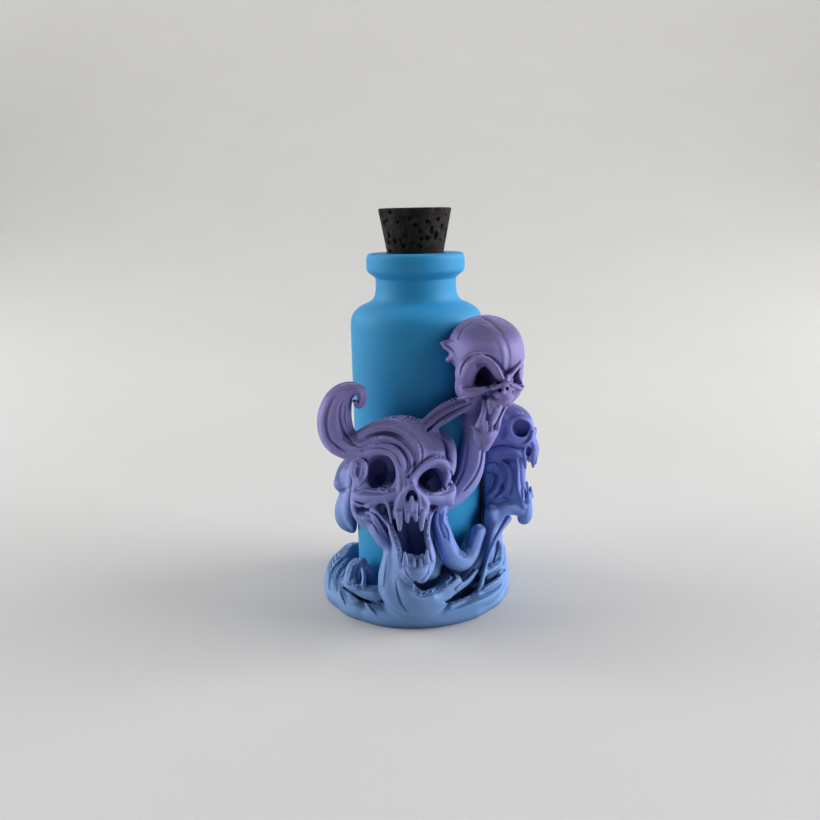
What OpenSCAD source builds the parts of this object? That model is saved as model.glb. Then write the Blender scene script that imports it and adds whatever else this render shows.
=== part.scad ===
// Corked apothecary bottle standing in a sculpted surround of skulls and
// flowing tendrils. Millimetres, +Z up, the origin on the bottle's axis at
// the face that the plinth stands on, and -Y towards the front skull.

/* [Bottle] */
// Outer radius of the straight body
body_r = 20; // [19.6:0.1:20]
// Height of the lip's top face above the standing face
lip_top_z = 107.1; // [106:0.1:108]
// Height of the bottle's foot, which is the floor of the plinth's socket
foot_z = 2.4; // [2:0.1:3]
// Outer radius of the neck
neck_r = 12.1; // [11.8:0.1:12.4]
// Outer radius of the lip
lip_r = 14.7; // [14.2:0.1:15.2]
// Radius of the straight bore in the neck
bore_r = 8.6; // [8.6:0.05:9]
// Wall of the body and thickness of its floor
wall = 2.8; // [2:0.1:3.2]

/* [Cork] */
// Radius of the cork's top face
cork_top_r = 10.8; // [10.6:0.1:11]
// Radius of the cork's bottom face
cork_low_r = 6.2; // [5.8:0.1:6.2]
// Height of the cork's top face
cork_top_z = 120; // [119.8:0.1:121]
// Length of the cork
cork_len = 24; // [23:0.5:24]

/* [Surround] */
// Radius of the clear cylinder that the bottle slides through
clear_r = 20.45; // [20.4:0.05:20.6]
// Outer radius of the plinth
plinth_r = 29.7; // [29:0.1:30.4]
// Sideways offset of the plinth's centre from the bottle's axis
plinth_dx = -1.6; // [-2:0.1:0]
// Height of the plinth's top face around the bottle
plinth_h = 5.2; // [4.8:0.1:5.6]
// Size of the upper skull against the front one
upper_k = 0.87; // [0.85:0.01:0.9]
// Size of the right skull against the front one
right_k = 0.72; // [0.68:0.01:0.76]
// Size of the left skull against the front one
left_k = 0.74; // [0.70:0.01:0.78]

/* [Hidden] */

blue = [0.44, 0.56, 0.80];
violet = [0.48, 0.42, 0.66];
sky = [0.28, 0.62, 0.85];
dark_cork = [0.23, 0.19, 0.16];

// ---- small helpers -------------------------------------------------------

// a point at azimuth a (0 at the front, positive towards +X), height z and
// radius r from the bottle's axis
function around(a, z, r) = [r * sin(a), -r * cos(a), z];

// points on an arc in the (radius, height) plane
function arc(c, r, a0, a1, n) =
    [for (i = [0:n]) [c[0] + r * cos(a0 + (a1 - a0) * i / n),
                      c[1] + r * sin(a0 + (a1 - a0) * i / n)]];

// Catmull-Rom value between p1 and p2
function cr(p0, p1, p2, p3, t) =
    0.5 * ((2 * p1) + (p2 - p0) * t + (2 * p0 - 5 * p1 + 4 * p2 - p3) * t * t
           + (3 * p1 - p0 - 3 * p2 + p3) * t * t * t);

// a list of rows made smooth, with m steps between each pair of rows
function smooth_rows(p, m) =
    let (n = len(p))
    [for (i = [0:n - 2], j = [0:(i == n - 2 ? m : m - 1)])
        cr(p[max(i - 1, 0)], p[i], p[i + 1], p[min(i + 2, n - 1)], j / m)];

function unit(v) = v / norm(v);

// one ring of a tendril: centre c, tangent t, outward direction o,
// half-width w across and half-thickness h outwards
function ring(c, t, o, w, h, n) =
    let (b = unit(cross(t, o)), q = unit(cross(b, t)))
    [for (k = [0:n - 1]) c + b * w * cos(360 * k / n) + q * h * sin(360 * k / n)];

// a closed tendril through rows of [azimuth, height, radius, half-width,
// half-thickness]
module tendril(rows, n = 10, m = 4) {
    s = smooth_rows(rows, m);
    k = len(s);
    c = [for (r = s) around(r[0], r[1], r[2])];
    pts = [for (i = [0:k - 1])
        let (e = (i == 0 || i == k - 1) ? 0.55 : 1)
        each ring(c[i], unit(c[min(i + 1, k - 1)] - c[max(i - 1, 0)]),
                  around(s[i][0], 0, 1), e * s[i][3], e * s[i][4], n)];
    side = [for (i = [0:k - 2], j = [0:n - 1])
        let (a = i * n + j, b = i * n + (j + 1) % n)
        each [[a, b, a + n], [b, b + n, a + n]]];
    cap0 = [for (j = [1:n - 2]) [0, j + 1, j]];
    cap1 = [for (j = [1:n - 2]) [(k - 1) * n, (k - 1) * n + j, (k - 1) * n + j + 1]];
    polyhedron(points = pts, faces = concat(side, cap0, cap1), convexity = 6);
}

module ball(p, r, f = 14) translate(p) sphere(r = r, $fn = f);

// a round-ended bone from a to b
module bone(a, b, ra, rb, f = 10) hull() { ball(a, ra, f); ball(b, rb, f); }

// a pointed tooth from its root a to its tip b
module tooth(a, b, r) hull() { ball(a, r, 8); ball(b, r * 0.28, 6); }

// moves a head into its place on the bottle: c is the cranium's centre,
// a the azimuth that it faces, p its nod and k its size
module place(c, a, p, r, k) translate(c) rotate([0, 0, a]) rotate([p, 0, 0])
    rotate([0, r, 0]) scale(k) children();

// skull without its lower jaw, facing -Y, its cranium centred on the origin
module head_solid() {
    // cranium
    hull() {
        translate([0, 1, 0.5]) scale([13.6, 10.5, 10.2]) sphere(r = 1, $fn = 20);
        translate([0, -3.5, -1]) scale([11.5, 8.5, 8.2]) sphere(r = 1, $fn = 16);
    }
    // middle of the face
    hull() {
        ball([-8.0, -4.2, -6.5], 3.6, 10);
        ball([8.0, -4.2, -6.5], 3.6, 10);
        ball([0, -9.0, -8.6], 2.6, 10);
        ball([-3.4, -8.2, -13.4], 1.9, 10);
        ball([3.4, -8.2, -13.4], 1.9, 10);
        ball([0, -0.5, -9.0], 4.4, 10);
    }
    // brows, temples and cheekbones
    for (s = [-1, 1]) {
        bone([s * 2.2, -10.4, -2.6], [s * 9.6, -7.4, 1.2], 1.9, 2.1);
        bone([s * 9.6, -7.4, 1.2], [s * 12.0, -3.4, -4.0], 2.1, 1.8);
        bone([s * 12.0, -3.4, -4.0], [s * 11.4, -4.6, -10.2], 1.8, 2.2);
        bone([s * 11.4, -4.6, -10.2], [s * 4.2, -9.2, -10.2], 2.2, 1.9);
    }
    bone([0, -10.6, -2.4], [0, -11.8, -5.8], 1.6, 1.4);
    // long outer teeth with short ones between them
    for (s = [-1, 1]) {
        tooth([s * 3.0, -9.0, -13.8], [s * 3.1, -10.2, -18.2], 1.2);
        tooth([s * 1.0, -9.6, -14.0], [s * 1.1, -10.2, -16.0], 0.9);
        tooth([s * 5.0, -7.6, -13.6], [s * 5.2, -8.0, -15.8], 0.9);
    }
}

module head_sockets() {
    for (s = [-1, 1])
        translate([s * 6.3, -9.2, -4.4]) rotate([0, s * 14, 0])
            scale([3.9, 5.2, 4.0]) sphere(r = 1, $fn = 16);
    hull() {
        ball([0, -12.6, -7.4], 0.8, 8);
        ball([-1.4, -12.0, -10.0], 1.0, 8);
        ball([1.4, -12.0, -10.0], 1.0, 8);
    }
}

// lower jaw of the same head, wide open: two side strips, chin and teeth.
// d is how far the jaw hangs, against the front head's
module jaw_solid(d = 1) {
    for (s = [-1, 1]) {
        bone([s * 9.4, -3.6, -9.6], [s * 7.6, -5.2, -9.0 - 8 * d], 2.0, 1.5);
        bone([s * 7.6, -5.2, -9.0 - 8 * d], [s * 5.6, -8.2, -9.0 - 18.4 * d], 1.5, 1.8);
        bone([s * 5.6, -8.2, -9.0 - 18.4 * d], [s * 2.4, -10.2, -13.2 - 18.4 * d], 1.8, 1.8);
        tooth([s * 2.9, -10.4, -9.8 - 18.4 * d], [s * 3.1, -11.4, -6.0 - 18.4 * d], 1.1);
        tooth([s * 1.0, -10.8, -10.2 - 18.4 * d], [s * 1.1, -11.4, -8.0 - 18.4 * d], 0.8);
    }
    hull() for (s = [-1, 1]) {
        ball([s * 2.6, -10.0, -14.0 - 18.4 * d], 1.7, 10);
        ball([s * 3.4, -9.6, -10.6 - 18.4 * d], 1.6, 10);
    }
}

// the cylinder that stays free for the bottle
module bottle_space() translate([0, 0, foot_z]) cylinder(r = clear_r, h = 120, $fn = 60);

module skull(c, a, p, r, k, tint) color(tint) difference() {
    place(c, a, p, r, k) difference() { head_solid(); head_sockets(); }
    bottle_space();
}

module jaw(c, a, p, r, k, tint, d = 1) color(tint) difference() {
    place(c, a, p, r, k) jaw_solid(d);
    bottle_space();
}

// ---- bottle and cork -----------------------------------------------------

module bottle() color(sky) {
    inner = body_r - wall;
    rotate_extrude($fn = 96) polygon(concat(
        // outside, from the foot to the shoulder
        [[0, foot_z], [body_r - 1.0, foot_z], [body_r - 0.3, foot_z + 0.3],
         [body_r, foot_z + 1.0], [body_r, 85.6]],
        arc([body_r - 4.2, 86.4], 4.2, 0, 64, 6),
        // the slope of the shoulder and the flare into the neck
        [[15.8, 91.6]],
        arc([neck_r + 3.0, 95.4], 3.0, 250, 180, 6),
        [[neck_r, 99.9], [lip_r - 1.2, 101.0]],
        arc([lip_r - 1.2, 102.2], 1.2, -60, 0, 4),
        arc([lip_r - 1.0, lip_top_z - 1.0], 1.0, 0, 90, 4),
        // inside, from the mouth to the floor
        [[bore_r + 0.5, lip_top_z], [bore_r, lip_top_z - 0.5], [bore_r, 90.6]],
        arc([bore_r + 4.0, 84.6], 4.6, 80, 0, 6),
        [[inner, 80.0], [inner, foot_z + 5.0]],
        arc([inner - 2.0, foot_z + 5.0], 2.0, 0, -90, 4),
        [[0, foot_z + 3.0]]));
}

module cork_stopper() color(dark_cork)
    rotate_extrude($fn = 96) polygon([
        [0, cork_top_z - cork_len], [cork_low_r - 0.4, cork_top_z - cork_len],
        [cork_low_r, cork_top_z - cork_len + 0.4],
        [cork_top_r, cork_top_z - 0.5], [cork_top_r - 0.5, cork_top_z],
        [0, cork_top_z]]);

// ---- surround ------------------------------------------------------------

module plinth() color(blue) difference() {
    translate([plinth_dx, 0, 0]) rotate_extrude($fn = 96) polygon([
        [0, 0], [plinth_r - 0.9, 0], [plinth_r - 0.2, 0.5], [plinth_r, 1.4],
        [plinth_r - 0.2, 2.6], [plinth_r - 0.9, 3.8], [plinth_r - 2.2, 4.6],
        [plinth_r - 4.4, plinth_h], [0, plinth_h]]);
    translate([0, 0, foot_z]) cylinder(r = clear_r, h = 10, $fn = 96);
}

front_c = [-4.5, -26.5, 52.5];
upper_c = [18.0, -21.6, 80.0];
right_c = [26.0, -5.4, 54.4];
left_c = [-13.2, 20.2, 44.0];

module front_skull() skull(front_c, 11, 0, 0, 1, violet);
module front_jaw() jaw(front_c + [0.8, 0, 0], 11, 0, -3, 1, violet);
module upper_skull() skull(upper_c, 30, -10, -6, upper_k, violet);
module upper_jaw() jaw(upper_c, 30, -2, 12, upper_k * 0.9, violet, 0.72);
module right_skull() skull(right_c, 74, -2, 0, right_k, violet);
module right_jaw() jaw(right_c, 74, -3, 0, right_k, blue, 1.36);
module left_skull() skull(left_c, 208, 0, 0, left_k, blue);
module left_jaw() jaw(left_c, 208, 0, 0, left_k, blue);

// the dark back of the front mouth
module front_throat() color(blue) tendril([
    [0, 44, 22.6, 7.6, 1.6], [0, 38, 23.2, 7.8, 2.0], [2, 30, 23.6, 6.2, 2.2],
    [3, 22, 24.2, 5.0, 2.2], [3, 17, 24.4, 3.6, 1.8]]);

// horn-like lock that leaves the brow and curls over at its tip
module front_horn() color(violet) tendril([
    [-6, 60.0, 31.0, 2.6, 3.0], [-20, 57.6, 30.6, 3.6, 4.2],
    [-34, 55.6, 30.0, 4.0, 4.6], [-46, 56.6, 29.8, 4.0, 4.6],
    [-53, 61.6, 29.8, 3.6, 4.4], [-50, 67.2, 29.6, 2.8, 3.6],
    [-42, 70.4, 29.4, 2.2, 2.8], [-34.5, 70.0, 29.4, 1.7, 2.2],
    [-31.5, 67.6, 29.4, 1.3, 1.6], [-33.5, 66.2, 29.4, 0.9, 1.1]], m = 3);

// thick drip that leaves the left cheek and turns up at the front
module front_drip() color(blue) tendril([
    [-33, 40.0, 25.0, 4.2, 3.6], [-34, 34.5, 26.2, 4.2, 4.6],
    [-29, 28.5, 26.6, 3.8, 4.4], [-24, 22.0, 26.4, 3.6, 4.4],
    [-22, 15.0, 27.0, 4.6, 4.6], [-15, 9.6, 28.2, 4.8, 4.6],
    [-4, 7.4, 28.8, 4.2, 4.2], [7, 8.8, 28.4, 3.6, 3.8],
    [16, 12.0, 27.4, 3.0, 3.2], [23, 14.6, 26.6, 1.8, 2.0]], m = 3);

// drip that leaves the right cheek, sags in a U and ends in a round tip
module right_drip() color(blue) tendril([
    [12, 41.0, 25.0, 3.6, 3.2], [14, 35.0, 25.6, 3.6, 4.0],
    [15, 27.0, 25.4, 3.2, 3.8], [17, 21.0, 25.6, 3.6, 3.6],
    [25, 17.6, 25.8, 3.4, 3.4], [35, 18.6, 25.2, 3.0, 3.2],
    [43, 22.2, 24.6, 2.6, 2.8], [50, 26.4, 23.8, 1.4, 1.6]], m = 3);

// broad band from under the upper skull down behind the front one
module upper_tail() color(violet) tendril([
    [43, 73.0, 24.4, 4.2, 3.0], [45, 66.0, 24.4, 4.2, 3.0], [44, 58.0, 24.6, 4.4, 3.4],
    [49, 50.0, 24.4, 4.4, 3.2], [47, 42.4, 24.0, 4.2, 2.8],
    [36, 37.0, 23.6, 3.6, 2.4], [24, 34.8, 23.4, 2.6, 2.0]], m = 3);

// lock that joins the upper skull to the front skull's crown
module upper_tendril() color(violet) tendril([
    [34, 67.0, 24.4, 3.4, 2.8], [24, 66.4, 24.4, 3.0, 2.6],
    [14, 64.2, 24.2, 2.8, 2.4], [4, 60.8, 24.4, 2.6, 2.6],
    [-4, 57.0, 25.0, 2.0, 2.6]], m = 3);

// neck that carries the right skull up from the plinth
module right_neck() color(blue) tendril([
    [84, 4.0, 25.6, 5.0, 4.6], [76, 12.0, 25.6, 4.6, 4.6],
    [74, 22.0, 25.6, 4.6, 4.2], [76, 34.0, 25.4, 5.4, 4.2],
    [77, 46.0, 24.8, 5.8, 3.6], [78, 50.0, 24.4, 5.4, 3.4]], m = 3);

// thin strand from the right jaw down to the plinth
module right_stem() color(blue) tendril([
    [69, 31.5, 32.2, 1.7, 1.9], [66, 27.0, 30.6, 1.4, 1.6], [60, 22.0, 29.6, 1.2, 1.4],
    [52, 15.0, 28.8, 1.2, 1.4], [45, 8.0, 27.6, 1.9, 1.9],
    [41, 4.4, 26.8, 2.3, 1.7]], m = 3);

// folds that rise from the plinth under the right skull
module right_wave() color(blue) tendril([
    [34, 5.0, 25.2, 3.0, 3.2], [48, 8.0, 25.4, 3.6, 3.8],
    [62, 13.0, 25.8, 4.6, 4.0], [78, 12.0, 25.8, 5.0, 4.0],
    [96, 8.0, 25.6, 4.0, 3.8], [112, 5.4, 25.2, 2.6, 3.0]], m = 3);

// neck that carries the left skull and ends in a lobed lock at the left
module left_neck() color(blue) tendril([
    [-158, 4.0, 25.4, 4.8, 4.2], [-156, 13.0, 25.2, 4.4, 3.8],
    [-152, 24.0, 25.0, 4.6, 3.6], [-140, 33.5, 24.6, 4.6, 3.4],
    [-120, 37.4, 24.6, 4.0, 3.2], [-102, 34.4, 24.8, 3.4, 3.4],
    [-97, 28.0, 24.6, 2.6, 3.2], [-96, 21.4, 25.2, 3.6, 3.8],
    [-97, 17.6, 25.2, 2.2, 2.6]], m = 3);

// wave that runs round the plinth on the left
module left_wave() color(blue) tendril([
    [-128, 5.0, 25.2, 3.0, 3.4], [-108, 8.0, 25.4, 3.6, 4.0],
    [-88, 9.4, 25.4, 4.0, 4.2], [-70, 8.0, 25.6, 3.8, 4.2],
    [-54, 5.2, 26.0, 2.6, 3.4]], m = 3);

// knobbly outcrop at the left front of the plinth
module left_rock() color(blue) tendril([
    [-57, 4.6, 26.0, 2.4, 3.0], [-51, 8.4, 26.6, 3.4, 3.8],
    [-44, 10.6, 26.2, 3.6, 3.6], [-37, 8.4, 26.4, 3.2, 3.4],
    [-31, 5.0, 26.2, 2.2, 2.8]], m = 3);

// tail that climbs round the back, over the right skull, to the upper one
module rear_tail() color(blue) tendril([
    [192, 4.0, 25.2, 4.2, 4.0], [178, 12.0, 25.0, 4.4, 3.8],
    [160, 22.0, 24.4, 4.6, 3.4], [140, 34.0, 24.2, 4.6, 3.2],
    [118, 46.0, 24.0, 4.6, 3.0], [97, 55.0, 24.0, 4.6, 3.0],
    [78, 61.0, 24.2, 4.4, 3.0], [63, 67.0, 24.2, 4.2, 3.0],
    [53, 74.0, 24.4, 4.2, 3.0]], m = 3);

bottle();
cork_stopper();
plinth();
front_skull();
front_jaw();
front_throat();
front_horn();
front_drip();
upper_skull();
upper_jaw();
upper_tail();
upper_tendril();
right_skull();
right_jaw();
right_neck();
right_stem();
right_drip();
left_skull();
left_jaw();
left_neck();
left_wave();
left_rock();
rear_tail();
right_wave();
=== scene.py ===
import bpy
import math
from concurrent.futures import ThreadPoolExecutor
import numpy as np
from mathutils import Matrix, Vector


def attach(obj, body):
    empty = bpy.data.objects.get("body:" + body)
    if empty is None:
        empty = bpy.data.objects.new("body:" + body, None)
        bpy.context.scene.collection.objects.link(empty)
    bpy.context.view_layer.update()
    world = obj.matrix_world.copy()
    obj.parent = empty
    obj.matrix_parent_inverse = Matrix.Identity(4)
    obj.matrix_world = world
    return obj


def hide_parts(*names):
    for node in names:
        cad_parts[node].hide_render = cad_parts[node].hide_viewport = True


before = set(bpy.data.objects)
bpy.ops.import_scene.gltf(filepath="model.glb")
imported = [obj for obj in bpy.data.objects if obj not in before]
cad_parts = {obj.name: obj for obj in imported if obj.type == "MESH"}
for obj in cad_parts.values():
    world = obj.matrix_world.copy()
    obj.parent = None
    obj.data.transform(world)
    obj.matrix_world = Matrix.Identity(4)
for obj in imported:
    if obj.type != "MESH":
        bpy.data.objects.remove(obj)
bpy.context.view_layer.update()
VOX = 0.22          # millimetres between samples of the sculpted surround

# ---------------------------------------------------------------------------
# Camera, in millimetres: F is the focal length in pixels of an 820 pixel frame
# ---------------------------------------------------------------------------
F, CAM_H, CAM_L, PITCH, ROLL, YAW = 773.1, 116.9, 234.9, 13.887, -1.059, -0.598


def camera_basis():
    p, r, w = np.radians([PITCH, ROLL, YAW])
    fwd = np.array([np.sin(w) * np.cos(p), np.cos(w) * np.cos(p), -np.sin(p)])
    right = np.array([np.cos(w), -np.sin(w), 0.0])
    up = np.cross(right, fwd)
    c, s = np.cos(r), np.sin(r)
    return np.array([0, -CAM_L, CAM_H]), c * right + s * up, -s * right + c * up, fwd


CAM, RT, UP, FW = camera_basis()


def px(u, v, y):
    """The point at depth y that shows at pixel (u, v)."""
    d = FW + RT * (u - 410) / F - UP * (v - 410) / F
    return CAM + d * (y - CAM[1]) / d[1]


def pr(u, v, r):
    """The near point at radius r from the bottle's axis that shows at pixel (u, v)."""
    d = FW + RT * (u - 410) / F - UP * (v - 410) / F
    a = d[0] ** 2 + d[1] ** 2
    b = 2 * (CAM[0] * d[0] + CAM[1] * d[1])
    c = CAM[0] ** 2 + CAM[1] ** 2 - r * r
    q = max(b * b - 4 * a * c, 0.0)
    return CAM + d * (-b - math.sqrt(q)) / 2 / a


def around(a, z, r):
    """The point at azimuth a (0 at the front, positive towards +X), height z and radius r."""
    a = math.radians(a)
    return np.array([r * math.sin(a), -r * math.cos(a), z])


# ---------------------------------------------------------------------------
# Shapes as distance fields
# ---------------------------------------------------------------------------
def smin(a, b, k):
    h = np.maximum(k - np.abs(a - b), 0) / k
    return np.minimum(a, b) - h * h * k * 0.25


def smax(a, b, k):
    h = np.maximum(k - np.abs(a - b), 0) / k
    return np.maximum(a, b) + h * h * k * 0.25


def rot_matrix(rot):
    ax, ay, az = np.radians(rot)
    rx = np.array([[1, 0, 0], [0, np.cos(ax), -np.sin(ax)], [0, np.sin(ax), np.cos(ax)]])
    ry = np.array([[np.cos(ay), 0, np.sin(ay)], [0, 1, 0], [-np.sin(ay), 0, np.cos(ay)]])
    rz = np.array([[np.cos(az), -np.sin(az), 0], [np.sin(az), np.cos(az), 0], [0, 0, 1]])
    return rz @ ry @ rx


class Ell:
    """Ellipsoid with centre c, radii r and a rotation in degrees."""

    def __init__(self, c, r, rot=None):
        self.c = np.array(c, float)
        self.r = np.broadcast_to(np.array(r, float), (3,)).copy()
        self.m = None if rot is None else rot_matrix(rot)
        self.bc, self.br = self.c, float(self.r.max())

    def ev(self, L, ctr, rad):
        p = L - (self.c[:, None] + 1.3e-4).astype(np.float32)
        if self.m is not None:
            p = self.m.T.astype(np.float32) @ p
        q = p / self.r[:, None].astype(np.float32)
        k0 = np.sqrt((q * q).sum(0))
        q /= self.r[:, None].astype(np.float32)
        k1 = np.sqrt((q * q).sum(0))
        return k0 * (k0 - 1) / k1


class Cone:
    """Round-ended cone from a to b."""

    def __init__(self, a, b, ra, rb=None):
        rb = ra if rb is None else rb
        self.a, self.ab = np.array(a, float), np.array(b, float) - np.array(a, float)
        self.ra, self.rb = ra, rb
        self.bc = self.a + self.ab / 2
        self.br = np.linalg.norm(self.ab) / 2 + max(ra, rb)

    def ev(self, L, ctr, rad):
        p = L - self.a[:, None].astype(np.float32)
        ab = self.ab.astype(np.float32)
        t = np.clip((ab @ p) / float(ab @ ab), 0, 1)
        p = p - ab[:, None] * t
        return np.sqrt((p * p).sum(0)) - (self.ra + (self.rb - self.ra) * t)


def spline(rows, m):
    rows = np.array(rows, float)
    n = len(rows)
    out = []
    for i in range(n - 1):
        p0, p1, p2, p3 = rows[max(i - 1, 0)], rows[i], rows[i + 1], rows[min(i + 2, n - 1)]
        for j in range(m):
            t = j / m
            out.append(0.5 * (2 * p1 + (p2 - p0) * t + (2 * p0 - 5 * p1 + 4 * p2 - p3) * t * t
                              + (3 * p1 - p0 - 3 * p2 + p3) * t ** 3))
    out.append(rows[-1])
    return np.array(out)


class Sweep:
    """Strand along smooth points. w is the half-width across and h the half-thickness
    along up (by default away from the bottle's axis). flutes = (count, depth, turns)."""

    def __init__(self, pts, w, h=None, up=None, m=5, flutes=None, wave=None):
        pts = np.array(pts, float)
        n = len(pts)
        w = np.broadcast_to(np.array(w, float), (n,))
        h = w if h is None else np.broadcast_to(np.array(h, float), (n,))
        rows = spline(np.column_stack([pts, w, h]), m)
        p, self.w, self.h = rows[:, :3], np.maximum(rows[:, 3], 0.05), np.maximum(rows[:, 4], 0.05)
        t = np.gradient(p, axis=0)
        t /= np.linalg.norm(t, axis=1)[:, None]
        if up is None:
            o = p * [1, 1, 0]
        elif np.ndim(up) == 1:
            o = np.broadcast_to(np.array(up, float), p.shape)
        else:
            o = spline(np.array(up, float), m)
        b = np.cross(t, o)
        b /= np.linalg.norm(b, axis=1)[:, None]
        q = np.cross(b, t)
        self.p, self.U, self.V = p, b, q
        self.A, self.AB = p[:-1], p[1:] - p[:-1]
        self.inv = 1 / (self.AB ** 2).sum(1)
        seg = np.linalg.norm(self.AB, axis=1)
        self.s = np.concatenate([[0], np.cumsum(seg)])
        self.R = np.maximum(np.maximum(self.w, self.h)[:-1], np.maximum(self.w, self.h)[1:])
        self.mid, self.half = self.A + self.AB / 2, seg / 2
        lo, hi = (p - self.w.max()).min(0), (p + self.w.max()).max(0)
        self.bc = (p.min(0) + p.max(0)) / 2
        self.br = float(np.linalg.norm(p - self.bc, axis=1).max() + max(self.w.max(), self.h.max()))
        self.flutes, self.wave = flutes, wave

    def ev(self, L, ctr, rad):
        near = np.linalg.norm(self.mid - ctr, axis=1) < self.half + self.R + rad + MARGIN
        ids = np.nonzero(near)[0]
        if len(ids) == 0:
            return None
        best = idx = tt = None
        for i in ids:
            p = L - self.A[i][:, None].astype(np.float32)
            ab = self.AB[i].astype(np.float32)
            t = np.clip((ab @ p) * np.float32(self.inv[i]), 0, 1)
            p -= ab[:, None] * t
            r0, r1 = (self.w[i] + self.h[i]) / 2, (self.w[i + 1] + self.h[i + 1]) / 2
            key = np.sqrt((p * p).sum(0)) - (r0 + (r1 - r0) * t)
            if best is None:
                best, idx, tt = key, np.full(key.shape, i, np.int32), t
            else:
                m = key < best
                best = np.where(m, key, best)
                idx = np.where(m, i, idx)
                tt = np.where(m, t, tt)
        f32 = np.float32
        U0, V0 = self.U.astype(f32), self.V.astype(f32)
        q = L - (self.A.astype(f32)[idx].T + self.AB.astype(f32)[idx].T * tt)
        u = U0[idx].T + (U0[idx + 1] - U0[idx]).T * tt
        v = V0[idx].T + (V0[idx + 1] - V0[idx]).T * tt
        w = (self.w.astype(f32)[idx] * (1 - tt) + self.w.astype(f32)[idx + 1] * tt)
        h = (self.h.astype(f32)[idx] * (1 - tt) + self.h.astype(f32)[idx + 1] * tt)
        qu, qv = (q * u).sum(0), (q * v).sum(0)
        q2 = (q * q).sum(0)
        qt = np.sqrt(np.maximum(q2 - qu * qu - qv * qv, 0))
        low = np.minimum(w, h)
        e = np.sqrt((qu / w) ** 2 + (qv / h) ** 2 + (qt / low) ** 2)
        d = (e - 1) * np.maximum(np.sqrt(q2) / (e + 1e-6), low)
        if self.flutes:
            n, depth, turns = self.flutes
            s = self.s.astype(f32)[idx] * (1 - tt) + self.s.astype(f32)[idx + 1] * tt
            a = np.arctan2(qv / h, qu / w)
            fade = np.clip(1.6 * np.minimum(s, self.s[-1] - s) / 4.0, 0, 1)
            d = d - depth * fade * np.clip(e, 0, 1) * np.cos(n * a + 2 * np.pi * turns * s / self.s[-1])
        return d


class Disc:
    """Upright disc of radius r between two heights, with rounded edges."""

    def __init__(self, c, r, z0, z1, e=0.6):
        self.c, self.r, self.z0, self.z1, self.e = np.array(c, float), r, z0, z1, e
        self.bc = np.array([c[0], c[1], (z0 + z1) / 2])
        self.br = math.hypot(r, (z1 - z0) / 2)

    def ev(self, L, ctr, rad):
        a = np.sqrt((L[0] - self.c[0]) ** 2 + (L[1] - self.c[1]) ** 2) - (self.r - self.e)
        b = np.abs(L[2] - (self.z0 + self.z1) / 2) - ((self.z1 - self.z0) / 2 - self.e)
        return (np.minimum(np.maximum(a, b), 0)
                + np.sqrt(np.maximum(a, 0) ** 2 + np.maximum(b, 0) ** 2) - self.e)


class Frame:
    """Where a local shape stands: its centre, how it is turned and its size."""

    def __init__(self, c=(0, 0, 0), az=0, nod=0, roll=0, s=1.0):
        self.c, self.s = np.array(c, float), s
        self.m = rot_matrix((0, 0, az)) @ rot_matrix((nod, 0, 0)) @ rot_matrix((0, roll, 0))

    def world(self, p):
        return self.c + self.m @ (np.array(p, float) * self.s)

    def local(self, P):
        return (self.m.T.astype(np.float32) @ (P - self.c[:, None].astype(np.float32))) / np.float32(self.s)


WORLD = Frame()
MARGIN = 3.0
nodes, late, kept, reliefs = [], [], [], []


class Node:
    def __init__(self, name, k=1.0, welds=()):
        self.name, self.k, self.welds, self.ops = name, k, welds, []
        nodes.append(self)

    def _op(self, kind, shape, k, fr):
        fr = fr or WORLD
        self.ops.append((kind, shape, k, fr, fr.world(shape.bc), shape.br * fr.s))
        return self

    def add(self, shape, k=1.0, fr=None):
        return self._op("add", shape, k, fr)

    def cut(self, shape, k=0.6, fr=None):
        return self._op("cut", shape, k, fr)

    def ev(self, P, ctr, rad, cache):
        d = None
        for kind, shape, k, fr, bc, br in self.ops:
            if np.linalg.norm(bc - ctr) > br + rad + MARGIN:
                continue
            if kind == "cut" and d is None:
                continue
            key = id(fr)
            if key not in cache:
                cache[key] = P if fr is WORLD else fr.local(P)
            e = shape.ev(cache[key], (fr.m.T @ (ctr - fr.c)) / fr.s, rad / fr.s)
            if e is None:
                continue
            e = e * np.float32(fr.s)
            if kind == "add":
                d = e if d is None else smin(d, e, k)
            else:
                d = smax(d, -e, k)
        return d

    def blend_k(self, P):
        if not self.welds:
            return self.k
        k = np.full(P.shape[1], self.k, np.float32)
        for c, r, kk in self.welds:
            q = ((P - np.array(c, np.float32)[:, None]) ** 2).sum(0)
            k += (kk - self.k) * np.exp(-q / (r * r))
        return np.maximum(k, 0.05)

    def box(self):
        lo = np.min([bc - br for kind, _, _, _, bc, br in self.ops if kind == "add"], axis=0)
        hi = np.max([bc + br for kind, _, _, _, bc, br in self.ops if kind == "add"], axis=0)
        return lo - 1, hi + 1


def late_cut(shape, k=0.6, fr=None):
    """A hollow cut into whatever is there, after every strand has been blended."""
    fr = fr or WORLD
    late.append((shape, k, fr, fr.world(shape.bc), shape.br * fr.s))


def keep(shape, k=0.5, fr=None):
    """A shape that's added after the late hollows, such as a brow that hangs over a socket."""
    fr = fr or WORLD
    kept.append((shape, k, fr, fr.world(shape.bc), shape.br * fr.s))


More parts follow.
